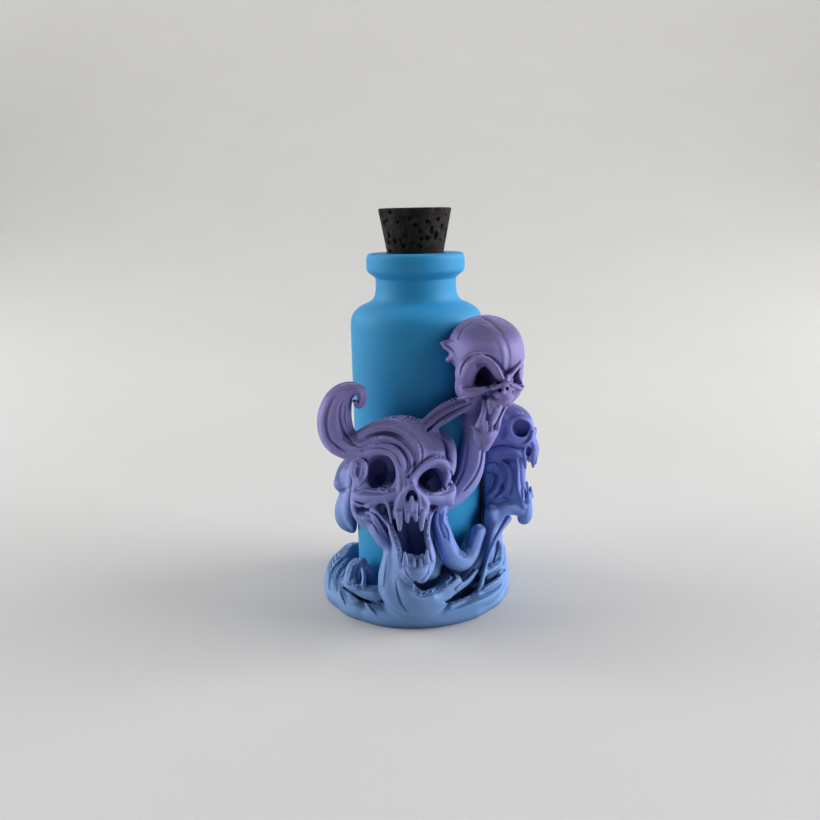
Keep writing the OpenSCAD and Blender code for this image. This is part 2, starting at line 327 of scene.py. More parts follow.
class Relief:
    """Ridge (or, with a negative height, groove) on whatever lies under rows of (u, v,
    half-width in pixels, height in millimetres), between the depths y0 and y1."""

    def __init__(self, rows, y0, y1, m=4):
        q = spline([r if len(r) == 4 else (*r, 1, 1) for r in rows], m) if len(rows) > 1 else np.array(rows, float)
        self.q, self.y = q, (y0, y1)
        self.lo, self.hi = q[:, :2].min(0) - q[:, 2].max(), q[:, :2].max(0) + q[:, 2].max()

    def near(self, ctr, rad):
        r = ctr - CAM
        dep = r @ FW
        u, v = 410 + F * (r @ RT) / dep, 410 - F * (r @ UP) / dep
        e = rad * F / dep * 1.05
        return (self.lo[0] - e < u < self.hi[0] + e and self.lo[1] - e < v < self.hi[1] + e
                and self.y[0] - rad < ctr[1] < self.y[1] + rad)

    def ev(self, u, v, y):
        q = self.q
        out = np.zeros_like(u)
        for i in range(max(len(q) - 1, 1)):
            a, b = q[i], q[min(i + 1, len(q) - 1)]
            ab = b[:2] - a[:2]
            t = np.clip(((u - a[0]) * ab[0] + (v - a[1]) * ab[1]) / max(ab @ ab, 1e-6), 0, 1)
            w = a[2] + (b[2] - a[2]) * t
            x = 1 - ((u - a[0] - ab[0] * t) ** 2 + (v - a[1] - ab[1] * t) ** 2) / (w * w)
            e = (a[3] + (b[3] - a[3]) * t) * np.maximum(x, 0) ** 1.5
            out = np.where(np.abs(e) > np.abs(out), e, out)
        fade = np.clip((y - self.y[0]) / 0.8 + 1, 0, 1) * np.clip((self.y[1] - y) / 0.8 + 1, 0, 1)
        return out * fade


def relief(rows, y0, y1, m=4):
    reliefs.append(Relief(rows, y0, y1, m))


class Dent:
    """Bump (or, with a negative height, dent) over an ellipse of the picture."""

    def __init__(self, u, v, ru, rv, roll, height, y0, y1):
        a = math.radians(roll)
        self.c, self.r, self.m = (u, v), (ru, rv), (math.cos(a), math.sin(a))
        self.h, self.y = height, (y0, y1)
        e = max(ru, rv)
        self.lo, self.hi = np.array([u - e, v - e]), np.array([u + e, v + e])

    near = Relief.near

    def ev(self, u, v, y):
        x, z = u - self.c[0], v - self.c[1]
        a, b = x * self.m[0] + z * self.m[1], z * self.m[0] - x * self.m[1]
        e = 1 - (a / self.r[0]) ** 2 - (b / self.r[1]) ** 2
        fade = np.clip((y - self.y[0]) / 0.8 + 1, 0, 1) * np.clip((self.y[1] - y) / 0.8 + 1, 0, 1)
        return self.h * np.maximum(e, 0) ** 1.5 * fade


def dent(u, v, ru, rv, roll, height, y0, y1):
    reliefs.append(Dent(u, v, ru, rv, roll, height, y0, y1))


CLEAR_R, SOCKET_Z = 20.35, 2.4


def eval_points(P, ctr, rad, hit):
    """The blended whole and each node's own field at points P (3 x n)."""
    cache, Fb, parts = {}, None, []
    for i in hit:
        n = nodes[i]
        d = n.ev(P, ctr, rad, cache)
        if d is None:
            continue
        parts.append((i, d))
        Fb = d if Fb is None else smin(Fb, d, n.blend_k(P))
    if Fb is None:
        return None, parts
    for s, k, fr, bc, br in late:
        if np.linalg.norm(bc - ctr) > br + rad + MARGIN:
            continue
        key = id(fr)
        if key not in cache:
            cache[key] = P if fr is WORLD else fr.local(P)
        e = s.ev(cache[key], (fr.m.T @ (ctr - fr.c)) / fr.s, rad / fr.s)
        if e is not None:
            Fb = smax(Fb, -e * np.float32(fr.s), k)
    for s, k, fr, bc, br in kept:
        if np.linalg.norm(bc - ctr) > br + rad + MARGIN:
            continue
        key = id(fr)
        if key not in cache:
            cache[key] = P if fr is WORLD else fr.local(P)
        e = s.ev(cache[key], (fr.m.T @ (ctr - fr.c)) / fr.s, rad / fr.s)
        if e is not None:
            Fb = smin(Fb, e * np.float32(fr.s), k)
    drawn = [r for r in reliefs if r.near(ctr, rad)]
    if drawn:
        rel = P - CAM.astype(np.float32)[:, None]
        dep = FW.astype(np.float32) @ rel
        u = 410 + np.float32(F) * (RT.astype(np.float32) @ rel) / dep
        v = 410 - np.float32(F) * (UP.astype(np.float32) @ rel) / dep
        for r in drawn:
            Fb = Fb - r.ev(u, v, P[1]).astype(np.float32)
    hole = np.maximum(np.sqrt(P[0] ** 2 + P[1] ** 2) - CLEAR_R, SOCKET_Z - P[2])
    Fb = smax(Fb, -hole, 0.3)
    return np.maximum(Fb, -P[2]), parts


class Grid:
    """Samples of the whole and of every node's own field on one lattice."""

    def __init__(self, lo, shape, h):
        self.lo, self.shape, self.h = lo, shape, h
        self.F = np.full(shape, 9, np.float32)
        self.D1 = np.full(shape, 9, np.float32)
        self.D2 = np.full(shape, 9, np.float32)
        self.I1 = np.full(shape, 255, np.uint8)
        self.own = []
        for n in nodes:
            a, b = n.box()
            i0 = np.clip(np.floor((a - lo) / h).astype(int), 0, shape - 1)
            i1 = np.clip(np.ceil((b - lo) / h).astype(int) + 1, 1, shape)
            self.own.append((i0, i1, np.full(i1 - i0, 9, np.float32)))

    def block(self, b0, b1):
        h, lo = self.h, self.lo
        ctr = lo + (b0 + b1 - 1) * h / 2
        half = (b1 - 1 - b0) * h / 2
        rad = float(np.linalg.norm(half))
        if math.hypot(ctr[0], ctr[1]) + rad < CLEAR_R - 1 and ctr[2] - half[2] > SOCKET_Z + 1:
            return
        hit = [i for i, (a, b, _) in enumerate(self.own) if np.all(b > b0) and np.all(a < b1)]
        if not hit:
            return
        ax = [(lo[i] + np.arange(b0[i], b1[i]) * h).astype(np.float32) for i in range(3)]
        X, Y, Z = np.meshgrid(*ax, indexing="ij")
        P = np.stack([X.ravel(), Y.ravel(), Z.ravel()])
        Fb, parts = eval_points(P, ctr, rad, hit)
        if Fb is None:
            return
        dim = tuple(b1 - b0)
        sl = tuple(slice(b0[i], b1[i]) for i in range(3))
        self.F[sl] = Fb.reshape(dim)
        d1 = np.full(P.shape[1], 9, np.float32)
        d2 = d1.copy()
        i1 = np.full(P.shape[1], 255, np.uint8)
        for i, d in parts:
            m = d < d1
            d2 = np.where(m, d1, np.minimum(d2, d))
            i1[m] = i
            d1 = np.where(m, d, d1)
            a, b, grid = self.own[i]
            s0, s1 = np.maximum(b0, a), np.minimum(b1, b)
            if np.all(s1 > s0):
                g = tuple(slice(s0[j] - a[j], s1[j] - a[j]) for j in range(3))
                l = tuple(slice(s0[j] - b0[j], s1[j] - b0[j]) for j in range(3))
                grid[g] = d.reshape(dim)[l]
        self.D1[sl], self.D2[sl], self.I1[sl] = d1.reshape(dim), d2.reshape(dim), i1.reshape(dim)

    def share(self, i):
        """The field whose zero surface bounds node i's own share of the whole."""
        a, b, d = self.own[i]
        sl = tuple(slice(a[j], b[j]) for j in range(3))
        other = np.where(self.I1[sl] == i, self.D2[sl], self.D1[sl])
        over = np.maximum(0, (d - other) / 2)
        g = self.F[sl] + 1.1 * over * over
        return np.where(d > 6, np.float32(9), g)


def run_blocks(grid, size, wanted=None):
    todo = []
    n = np.ceil(grid.shape / size).astype(int)
    for bx in range(n[0]):
        for by in range(n[1]):
            for bz in range(n[2]):
                if wanted is not None and not wanted[bx, by, bz]:
                    continue
                b0 = np.array([bx, by, bz]) * size
                todo.append((b0, np.minimum(b0 + size, grid.shape)))
    with ThreadPoolExecutor(4) as pool:
        for _ in pool.map(lambda t: grid.block(*t), todo):
            pass


def sculpt(h):
    """Samples coarsely, then finely near every surface. Returns the fine grid."""
    lo = np.min([n.box()[0] for n in nodes], axis=0)
    hi = np.max([n.box()[1] for n in nodes], axis=0)
    lo[2] = max(lo[2], -2 * h)
    STEP, SIZE = 4, 20
    hc = h * STEP
    lo = np.floor(lo / hc) * hc
    cshape = (np.ceil((hi - lo) / hc).astype(int) + 2)
    coarse = Grid(lo, cshape, hc)
    run_blocks(coarse, 12)
    nb = -(-(cshape * STEP) // SIZE)
    wanted = np.zeros(nb, bool)
    for i in range(len(nodes)):
        a = coarse.own[i][0]
        near = np.argwhere(np.abs(coarse.share(i)) < 0.95 * hc + 0.35) + a
        for e in (-1, 1):
            for k in range(3):
                off = np.zeros(3, int)
                off[k] = e
                c = np.clip((near * STEP + off * STEP) // SIZE, 0, nb - 1)
                wanted[c[:, 0], c[:, 1], c[:, 2]] = True
    fine = Grid(lo, cshape * STEP, h)
    up = lambda g: g.repeat(STEP, 0).repeat(STEP, 1).repeat(STEP, 2)
    half = STEP // 2

    def fill(dst, src):
        big = up(src)
        dst[...] = 9 if dst.dtype != np.uint8 else 255
        dst[:-half, :-half, :-half] = big[half:, half:, half:]
    fill(fine.F, coarse.F)
    fill(fine.D1, coarse.D1)
    fill(fine.D2, coarse.D2)
    fill(fine.I1, coarse.I1)
    for (a, b, g), (ca, cb, cg) in zip(fine.own, coarse.own):
        ix = [np.clip((np.arange(a[j], b[j]) + half) // STEP - ca[j], 0, cg.shape[j] - 1) for j in range(3)]
        g[...] = cg[np.ix_(*ix)]
    run_blocks(fine, SIZE, wanted)
    return fine


def surface_nets(g, org, h):
    """A closed quad mesh of the surface g = 0. Inside is negative."""
    g = np.pad(g, 1, constant_values=5.0)
    org = np.array(org, float) - h
    s = g < 0
    nx, ny, nz = s.shape
    cnt = np.zeros((nx - 1, ny - 1, nz - 1), np.uint8)
    for dx in (0, 1):
        for dy in (0, 1):
            for dz in (0, 1):
                cnt += s[dx:nx - 1 + dx, dy:ny - 1 + dy, dz:nz - 1 + dz]
    mixed = (cnt > 0) & (cnt < 8)
    ids = np.argwhere(mixed)
    if len(ids) == 0:
        return np.zeros((0, 3)), np.zeros((0, 4), int)
    index = np.full(mixed.shape, -1, np.int32)
    index[mixed] = np.arange(len(ids))
    corners = [(0, 0, 0), (1, 0, 0), (0, 1, 0), (1, 1, 0), (0, 0, 1), (1, 0, 1), (0, 1, 1), (1, 1, 1)]
    val = [g[ids[:, 0] + c[0], ids[:, 1] + c[1], ids[:, 2] + c[2]] for c in corners]
    acc, num = np.zeros((len(ids), 3)), np.zeros(len(ids))
    for a in range(8):
        for b in range(a + 1, 8):
            ca, cb = np.array(corners[a]), np.array(corners[b])
            if np.abs(ca - cb).sum() != 1:
                continue
            m = (val[a] < 0) != (val[b] < 0)
            t = val[a][m] / (val[a][m] - val[b][m])
            acc[m] += ca + t[:, None] * (cb - ca)
            num[m] += 1
    grid_v = ids + acc / num[:, None]
    # one step onto the true surface
    for _ in range(2):
        def sample(p):
            i = np.floor(p).astype(int)
            i = np.clip(i, 0, np.array(g.shape) - 2)
            f = p - i
            r = 0
            for c in corners:
                wgt = np.prod([f[:, j] if c[j] else 1 - f[:, j] for j in range(3)], axis=0)
                r = r + wgt * g[i[:, 0] + c[0], i[:, 1] + c[1], i[:, 2] + c[2]]
            return r
        v0 = sample(grid_v)
        gr = np.stack([sample(grid_v + e) - sample(grid_v - e) for e in np.eye(3) * 0.5], 1)
        step = -(v0 / np.maximum((gr ** 2).sum(1), 1e-4))[:, None] * gr
        ln = np.linalg.norm(step, axis=1)
        step *= np.minimum(1, 0.35 / np.maximum(ln, 1e-9))[:, None]
        grid_v = np.clip(grid_v + step, ids - 0.05, ids + 1.05)
    quads = []
    for axis in range(3):
        o = [slice(None)] * 3
        o2 = [slice(None)] * 3
        o[axis], o2[axis] = slice(0, -1), slice(1, None)
        e = np.argwhere(s[tuple(o)] != s[tuple(o2)])
        u, v = (axis + 1) % 3, (axis + 2) % 3
        ok = (e[:, u] > 0) & (e[:, v] > 0) & (e[:, u] < s.shape[u] - 1) & (e[:, v] < s.shape[v] - 1)
        e = e[ok]
        inside = s[e[:, 0], e[:, 1], e[:, 2]]
        c = []
        for du, dv in ((-1, -1), (0, -1), (0, 0), (-1, 0)):
            q = e.copy()
            q[:, u] += du
            q[:, v] += dv
            c.append(index[q[:, 0], q[:, 1], q[:, 2]])
        q = np.stack(c, 1)
        q[~inside] = q[~inside][:, ::-1]
        quads.append(q)
    return org + grid_v * h, np.concatenate(quads)


def keep_large(v, q, share=0.04):
    """Drops islands with under that share of the faces."""
    if len(q) == 0:
        return v, q
    lab = np.arange(len(v))
    while True:
        m = lab[q].min(1)
        new = lab.copy()
        for c in range(4):
            np.minimum.at(new, q[:, c], m)
        new = new[new]
        if np.array_equal(new, lab):
            break
        lab = new
    fl = lab[q[:, 0]]
    u, n = np.unique(fl, return_counts=True)
    good = u[n >= share * len(q)]
    q = q[np.isin(fl, good)]
    used = np.unique(q)
    remap = np.full(len(v), -1)
    remap[used] = np.arange(len(used))
    return v[used], remap[q]


def make_mesh(name, v, faces, smooth=True):
    """A mesh object from points in millimetres and faces of equal size."""
    me = bpy.data.meshes.new(name)
    n, k = faces.shape
    me.vertices.add(len(v))
    me.vertices.foreach_set("co", (np.asarray(v, float) / 1000).astype(np.float32).ravel())
    me.loops.add(n * k)
    me.loops.foreach_set("vertex_index", faces.astype(np.int32).ravel())
    me.polygons.add(n)
    me.polygons.foreach_set("loop_start", np.arange(0, n * k, k, dtype=np.int32))
    me.polygons.foreach_set("loop_total", np.full(n, k, np.int32))
    me.polygons.foreach_set("use_smooth", np.full(n, smooth, bool))
    me.update(calc_edges=True)
    me.validate()
    ob = bpy.data.objects.new(name, me)
    bpy.context.scene.collection.objects.link(ob)
    return ob


def carve(grid):
    """One closed mesh for each node: its own share of the blended whole, run on a
    little way under its neighbours so that no gap shows where they meet."""
    def one(i):
        v, q = surface_nets(grid.share(i), grid.lo + grid.own[i][0] * grid.h, grid.h)
        return nodes[i].name, keep_large(v, q)
    with ThreadPoolExecutor(4) as pool:
        return dict(pool.map(one, range(len(nodes))))


# ---------------------------------------------------------------------------
# Helpers that lay shapes out by what the camera sees
# ---------------------------------------------------------------------------
def mm(p):
    """Millimetres to a pixel at point p."""
    return float((np.array(p) - CAM) @ FW) / F


def at(u, v, d):
    """A point under pixel (u, v): at depth y = d, or for d over 12 at radius d."""
    return px(u, v, d) if d < 12 else pr(u, v, d)


def outward(p):
    o = np.array([p[0], p[1], 0.0])
    return o / np.linalg.norm(o)


def strand(node, rows, k=1.0, m=5, flutes=None, kind="add"):
    """Strand that faces the camera: its near surface shows at each row's (u, v, depth), with
    the half-width in pixels and the half-thickness in millimetres."""
    pts, w, h, up = [], [], [], []
    for u, v, d, wp, hh in rows:
        p = at(u, v, d)
        e = (p - CAM) / np.linalg.norm(p - CAM)
        pts.append(p + e * hh)
        w.append(wp * mm(p))
        h.append(hh)
        up.append(-e)
    shape = Sweep(pts, w, h, up=up, m=m, flutes=flutes)
    return keep(shape, k) if kind == "keep" else getattr(node, kind)(shape, k)


def wrap(node, rows, k=1.0, m=5, flutes=None, kind="add"):
    """Strand through rows of [azimuth, height, radius of its axis, half-width, half-thickness]."""
    pts = [around(r[0], r[1], r[2]) for r in rows]
    return getattr(node, kind)(Sweep(pts, [r[3] for r in rows], [r[4] for r in rows], m=m, flutes=flutes), k)


def lump(node, u, v, d, ru, rv, ry, k=1.5, az=0, roll=0, kind="add"):
    """Ellipsoid that shows at pixel (u, v) with its near surface at depth d."""
    p = at(u, v, d)
    s = mm(p)
    c = p - outward(p) * ry * 0.9 if d > 0 else p + np.array([0, ry * 0.9, 0])
    return getattr(node, kind)(Ell(c, (ru * s, ry, rv * s), (0, roll, az)), k)


def spike(node, a, b, ra, rb, k=0.35, kind="add"):
    """Tooth from a to b, both (u, v, depth), with radii in millimetres at its ends."""
    return getattr(node, kind)(Cone(at(*a), at(*b), ra, rb), k)


def hollow(u, v, d, ru, rv, ry, k=0.8, az=0, roll=0, back=0.0):
    """Late hollow that shows at pixel (u, v) with its mouth at depth d."""
    p = at(u, v, d)
    s = mm(p)
    o = np.array([0, 1.0, 0]) if d < 0 else -outward(p)
    late_cut(Ell(p + o * back, (ru * s, ry, rv * s), (0, roll, az)), k)


rng = np.random.RandomState(7)

# ---------------------------------------------------------------------------
# Front skull
# ---------------------------------------------------------------------------
n = Node("front_skull", 1.2)
n.add(Ell((-5.2, -24.8, 53.0), (12.4, 11.2, 10.2)), 2)
n.add(Ell((-3.4, -29.0, 49.0), (10.6, 7.6, 8.0)), 3)
# crown's crest, which runs over from the brow to the back
strand(n, [(352, 444, -29, 8, 3.0), (372, 432, -32, 9, 3.0), (390, 427, -33, 9, 3.2), (406, 433, -34, 9, 3.4),
           (417, 447, -36, 8, 3.2), (420, 461, -37, 6, 2.6)], 2.0)
# right temple lobes
strand(n, [(436, 437, -26, 7, 3.0), (446, 443, -26.5, 8, 3.4), (449.5, 455, -27, 7.2, 3.2), (448.5, 467, -27.5, 7.4, 3.2),
           (446, 479, -28.5, 6.6, 3.0), (447.5, 489, -29, 6.4, 2.8)], 1.4)
# bulge over the right brow, and the brow, which hangs over the socket
lump(n, 431, 455, -34.8, 15, 9, 3.6, 2.2, roll=12)
strand(n, [(408.0, 481, -38.2, 2.4, 1.0), (412.5, 474.0, -38.6, 4.4, 1.7), (420, 466.8, -38.4, 4.9, 2.0), (430, 461.4, -37.4, 5.2, 2.2),
           (439.5, 460.6, -35.8, 5.2, 2.2), (446.3, 466.6, -33.6, 4.4, 2.0), (446.8, 475.5, -32.0, 3.6, 1.7), (444.8, 484, -31.4, 3.0, 1.4)],
       0.6, kind="keep")
# left temple, with looped folds
lump(n, 363, 470, -30.5, 13, 19, 4.0, 1.6)
strand(n, [(357, 458, -30.2, 3.0, 1.2), (353.8, 465, -29.4, 2.6, 1.2), (353.4, 475, -29.2, 2.6, 1.2), (357.5, 485, -30.2, 2.6, 1.2)], 0.7)
# left cheekbone
lump(n, 373, 486.5, -32.6, 19, 10, 4.2, 1.4)
strand(n, [(399, 492, -37.6, 5.5, 2.0), (391, 495, -37.2, 7, 2.5), (379, 497, -36.2, 8, 2.9), (367, 497, -34.4, 8.6, 2.9),
           (359, 495, -32.2, 7.5, 2.6), (356, 488, -30.6, 4.5, 2.0)], 1.2)
strand(n, [(354.5, 500, -31.4, 2.6, 1.4), (359, 504.5, -32.4, 2.6, 1.3), (365, 507, -33.6, 2.4, 1.2), (371.5, 505.5, -34.8, 2.0, 1.0)], 0.6)
# right cheekbone with its pointed lobe
strand(n, [(422, 494, -37.6, 4.5, 1.8), (430, 497, -36.8, 6.5, 2.3), (440, 497, -35.2, 7.6, 2.5), (448, 494, -33.2, 7.6, 2.4),
           (451, 488, -31.6, 5.0, 2.0)], 1.1)
spike(n, (446, 495, -32.2), (450, 502.5, -30.8), 2.1, 1.2, 1.0)
spike(n, (441, 500, -31.4), (439.5, 509, -29.8), 1.9, 1.0, 1.0)
# nose: bridge and the rims beside it
strand(n, [(411, 474, -38.0, 4.5, 1.5), (411.8, 482, -38.6, 4.0, 1.5), (412, 488, -39.0, 3.4, 1.4)], 0.8)
strand(n, [(408, 487, -38.4, 3.2, 1.4), (403, 494, -38.6, 3.6, 1.6), (399, 503, -38.2, 4.6, 1.9), (397, 513, -37.6, 4.6, 1.8)], 0.8)
strand(n, [(415.5, 488, -38.6, 2.8, 1.3), (421, 495, -38.4, 3.2, 1.6), (425.5, 503, -37.8, 3.8, 1.8), (425, 513, -37.4, 3.8, 1.7)], 0.8)
# upper jaw and its teeth
lump(n, 411, 507, -38.6, 17, 13, 5.0, 1.4)
lump(n, 411.5, 513, -38.9, 15, 6.5, 3.0, 1.0)
for a, b, ra, rb in (((399.6, 513, -38.2), (399.5, 529.4, -38.9), 1.35, 0.5), ((421.8, 513, -37.9), (421.5, 529.6, -38.7), 1.25, 0.45),
                     ((407.2, 514, -38.8), (407.4, 521.6, -39.3), 0.95, 0.45), ((415.6, 514, -38.8), (416.0, 520.2, -39.1), 0.95, 0.45),
                     ((411.3, 508, -38.0), (411.5, 513.5, -38.6), 1.0, 0.7), ((425.8, 510, -37.0), (426.6, 518.4, -37.2), 0.9, 0.35),
                     ((395.2, 511, -37.0), (394.6, 518.0, -37.2), 0.8, 0.35)):
    spike(n, a, b, ra, rb, 0.25)
# thin side tooth that hangs beside the long one
strand(n, [(386, 498, -37.0, 3.4, 1.3), (388.6, 506, -37.3, 2.2, 1.0), (390.3, 515, -37.5, 1.7, 0.8), (391.3, 522.5, -37.6, 1.0, 0.6)], 0.4)
# palate
n.cut(Ell((0.0, -29.5, 33.6), (6.6, 8.5, 3.4)), 1.0)
# the nose's arched rim and the spike in its middle
strand(n, [(403.6, 501, -38.6, 1.3, 0.6), (405.0, 494.5, -38.9, 1.4, 0.7), (408.0, 488.4, -39.2, 1.5, 0.8), (411.7, 484.4, -39.4, 1.6, 0.9),
           (415.4, 488.6, -39.2, 1.5, 0.8), (418.2, 494.5, -38.9, 1.4, 0.7), (419.4, 501, -38.5, 1.3, 0.6)], 0.45, kind="keep")
keep(Cone(at(411.4, 504, -38.0), at(411.8, 496.6, -38.9), 0.85, 0.42), 0.3)
# sockets: the left one is tall and has a pit at its left, the right one slants
late_cut(Ell(px(382.2, 470.6, -34.2), (4.4, 7.6, 5.3), (0, 3, -20)), 0.35)
late_cut(Ell(px(377.6, 473.0, -29.8), (2.6, 5.6, 4.0), (0, 5, -8)), 0.7)
late_cut(Ell(px(430.0, 479.4, -33.4), (3.95, 7.4, 3.6), (0, -8, 12)), 0.3)
late_cut(Ell(px(429.4, 480.0, -29.6), (2.9, 7.4, 2.7), (0, 0, 8)), 0.8)
# nose
hollow(407.8, 497.2, -38.8, 2.7, 4.0, 2.8, 0.25, roll=14)
hollow(415.4, 497.2, -38.8, 2.7, 4.0, 2.8, 0.25, roll=-14)
hollow(411.6, 493.0, -39.0, 3.0, 2.6, 2.6, 0.25)
# hollows under the cheekbones
hollow(381.5, 510.8, -35.8, 5.0, 7.4, 3.6, 0.6, roll=-20)
hollow(363.5, 509.6, -33.2, 5.4, 3.0, 2.4, 0.5, roll=14)
hollow(433.5, 509, -33.4, 4.2, 5.6, 3.2, 0.6, roll=16)
# folds that flow from the brow over the forehead, and the temple's folds
Y0, Y1 = -44, -22
relief([(411, 474, 2.0, 0.3), (411.5, 462, 2.4, 0.6), (405.5, 448.5, 2.6, 0.7), (392, 439.5, 2.6, 0.7), (378, 438.5, 2.6, 0.6), (366, 443.5, 2.4, 0.5),
        (356, 447.5, 2.0, 0.2)], Y0, Y1)
relief([(415, 461, 1.8, 0.2), (412, 446, 2.2, 0.5), (400, 434, 2.2, 0.6), (385, 429.8, 2.2, 0.5), (371, 432.5, 2.2, 0.4), (360, 437.5, 1.8, 0.2)], Y0, Y1)
relief([(407, 470, 1.2, -0.3), (406, 458, 1.8, -0.6), (398.5, 447, 2.0, -0.6), (386, 442.8, 1.8, -0.5), (373, 445, 1.8, -0.4), (361, 450, 1.4, -0.2)], Y0, Y1)
relief([(413.5, 470, 1.2, -0.2), (415, 455, 1.8, -0.5), (407.5, 440.5, 2.0, -0.6), (393, 433.6, 1.8, -0.5), (379, 433.4, 1.8, -0.4), (367, 437.5, 1.4, -0.2)], Y0, Y1)
relief([(421, 462, 1.6, -0.3), (421, 448, 2.0, -0.5), (411, 433, 2.0, -0.4), (397, 425.5, 1.6, -0.2)], Y0, Y1)
relief([(408.5, 477, 1.6, -0.7), (415.5, 468.8, 1.8, -0.8), (424, 460.6, 1.8, -0.6), (434, 455.4, 1.8, -0.4), (443, 455.0, 1.6, -0.3)], Y0, Y1)
relief([(354, 460.5, 1.5, 0.3), (361, 459, 1.8, 0.6), (366.8, 463.5, 1.8, 0.7), (367.4, 471.5, 1.8, 0.7), (364.5, 479, 1.8, 0.6), (359, 485, 1.8, 0.4)], Y0, Y1)
dent(359.3, 470.5, 3.6, 8.6, 8, -1.0, Y0, Y1)
relief([(356.5, 464, 1.2, 0.3), (361, 466.5, 1.3, 0.5), (361.4, 472.5, 1.3, 0.5), (358, 479, 1.2, 0.3)], Y0, Y1)
relief([(355, 493, 1.6, 0.2), (364, 489.6, 1.8, 0.4), (376, 490.4, 1.8, 0.4), (388, 491.2, 1.6, 0.3)], Y0, Y1)
relief([(356, 501.5, 1.4, -0.4), (364, 503.2, 1.6, -0.5), (373, 500.5, 1.6, -0.3)], Y0, Y1)
relief([(440, 437, 1.4, -0.3), (445.5, 446, 1.8, -0.7), (447, 457, 1.6, -0.5), (452, 462, 1.2, -0.3)], Y0, -20)
relief([(449, 470, 1.4, -0.4), (452, 477, 1.6, -0.6), (448, 484, 1.4, -0.4)], Y0, -20)
relief([(427, 492.5, 1.6, 0.3), (437, 493, 1.8, 0.4), (447, 489.5, 1.8, 0.4)], Y0, Y1)
relief([(403.5, 506, 1.2, -0.3), (403.8, 516, 1.2, -0.4)], Y0, -35)
relief([(418.2, 505, 1.2, -0.3), (418.4, 515, 1.2, -0.4)], Y0, -35)
relief([(411.5, 505.5, 1.3, 0.3), (411.5, 512, 1.3, 0.2)], Y0, -35)

# ---------------------------------------------------------------------------
# Horn-like lock over the left eye
# ---------------------------------------------------------------------------
n = Node("front_horn", 1.0, [((-8, -33, 55), 7, 2.0)])
strand(n, [(405.5, 486, -38.0, 4.0, 1.6), (404.5, 472, -38.0, 6.0, 2.2), (401, 458.5, -37.4, 7.0, 2.7), (391, 447.5, -36.4, 7.4, 3.0),
           (378, 444.5, -35.0, 8, 3.3), (364, 447.5, -33.0, 10, 4.0), (350, 445.5, -31.2, 14, 4.6), (338.5, 436, -30.2, 17.6, 5.0),
           (334.6, 421, -29.6, 17.6, 4.8), (336.8, 405.5, -29.2, 15.0, 4.2), (343, 394, -28.8, 10.6, 3.4), (352, 388.8, -28.6, 6.8, 2.6),
           (359.6, 391, -28.4, 5.4, 2.1), (362, 398.4, -28.4, 4.4, 1.8), (358.8, 404.8, -28.6, 3.6, 1.5), (354.6, 401.4, -28.8, 2.0, 1.0)],
       1.4, m=7, flutes=(7, 0.16, 0.5))
# the lower strand, which is the upper rim of the eye
strand(n, [(399.8, 490, -37.8, 2.6, 1.2), (400.4, 476, -37.8, 3.0, 1.5), (399, 463, -37.2, 3.6, 1.7), (391.5, 453.4, -36.2, 4.0, 2.0),
           (378, 451.0, -34.8, 4.4, 2.2), (364, 454.2, -33.0, 5.0, 2.5), (349, 453.6, -31.2, 6.0, 3.0), (336, 446.5, -30.0, 7.5, 3.2)],
       0.7, m=6, kind="keep")
hollow(344.8, 437.0, -31.6, 2.8, 3.4, 2.4, 0.8, roll=20)
hollow(354.6, 399.4, -29.1, 2.0, 3.0, 1.7, 0.4, roll=20)
relief([(352, 441, 1.6, -0.3), (343, 432, 2.2, -0.7), (339, 419, 2.4, -0.7), (340, 405, 2.0, -0.5), (347, 394.5, 1.6, -0.2)], -40, -20)
relief([(346, 451, 1.4, -0.2), (332, 441, 2.0, -0.6), (326.5, 427, 2.2, -0.6), (328, 411, 2.0, -0.5), (334, 398, 1.6, -0.2)], -40, -20)
relief([(349, 430, 1.4, 0.3), (346, 418, 1.8, 0.5), (346.5, 406, 1.6, 0.3)], -40, -20)
relief([(337, 450, 1.8, 0.2), (328, 434, 2.2, 0.0)], -40, -20)
relief([(352, 444, 1.6, -0.6), (361, 446.5, 1.8, -0.6), (371, 442.5, 1.6, -0.3)], -42, -20)
relief([(362, 450.5, 1.6, -0.4), (374, 447.4, 1.6, -0.4), (387, 448.2, 1.6, -0.4), (396, 454, 1.6, -0.4), (401.6, 466, 1.4, -0.3)], -44, -20)

# ---------------------------------------------------------------------------
# Front skull's lower jaw: strips with deep inner walls, chin and teeth
# ---------------------------------------------------------------------------
n = Node("front_jaw", 0.9, [((-7, -31, 37), 5, 1.6)])
strand(n, [(372, 505, -34.0, 3.2, 2.6), (380, 513, -35.0, 3.0, 3.8), (387.5, 522, -36.0, 3.2, 5.2), (392.5, 533, -36.6, 3.8, 6.4),
           (396.5, 544, -37.0, 4.6, 7.2), (398.5, 555, -37.2, 5.4, 7.2), (402, 566, -37.4, 6.4, 6.4), (408, 575, -37.8, 7.0, 4.6)], 0.8, m=6)
strand(n, [(437, 500, -34.0, 4.0, 2.2), (430.5, 512, -35.0, 3.4, 4.4), (427.5, 524, -36.0, 3.0, 6.0), (427.2, 536, -36.6, 3.2, 7.2),
           (429.5, 547, -37.0, 4.0, 7.2), (431.0, 558, -37.2, 5.0, 6.8), (428, 568, -37.4, 6.0, 5.4), (422, 576, -37.8, 7.0, 4.2)], 0.8, m=6)
lump(n, 416, 573, -39.0, 14.5, 13, 3.6, 1.2)
lump(n, 409.5, 564, -38.8, 7.5, 7.0, 2.4, 0.7)
lump(n, 423.5, 564, -38.6, 7.0, 7.0, 2.4, 0.7)
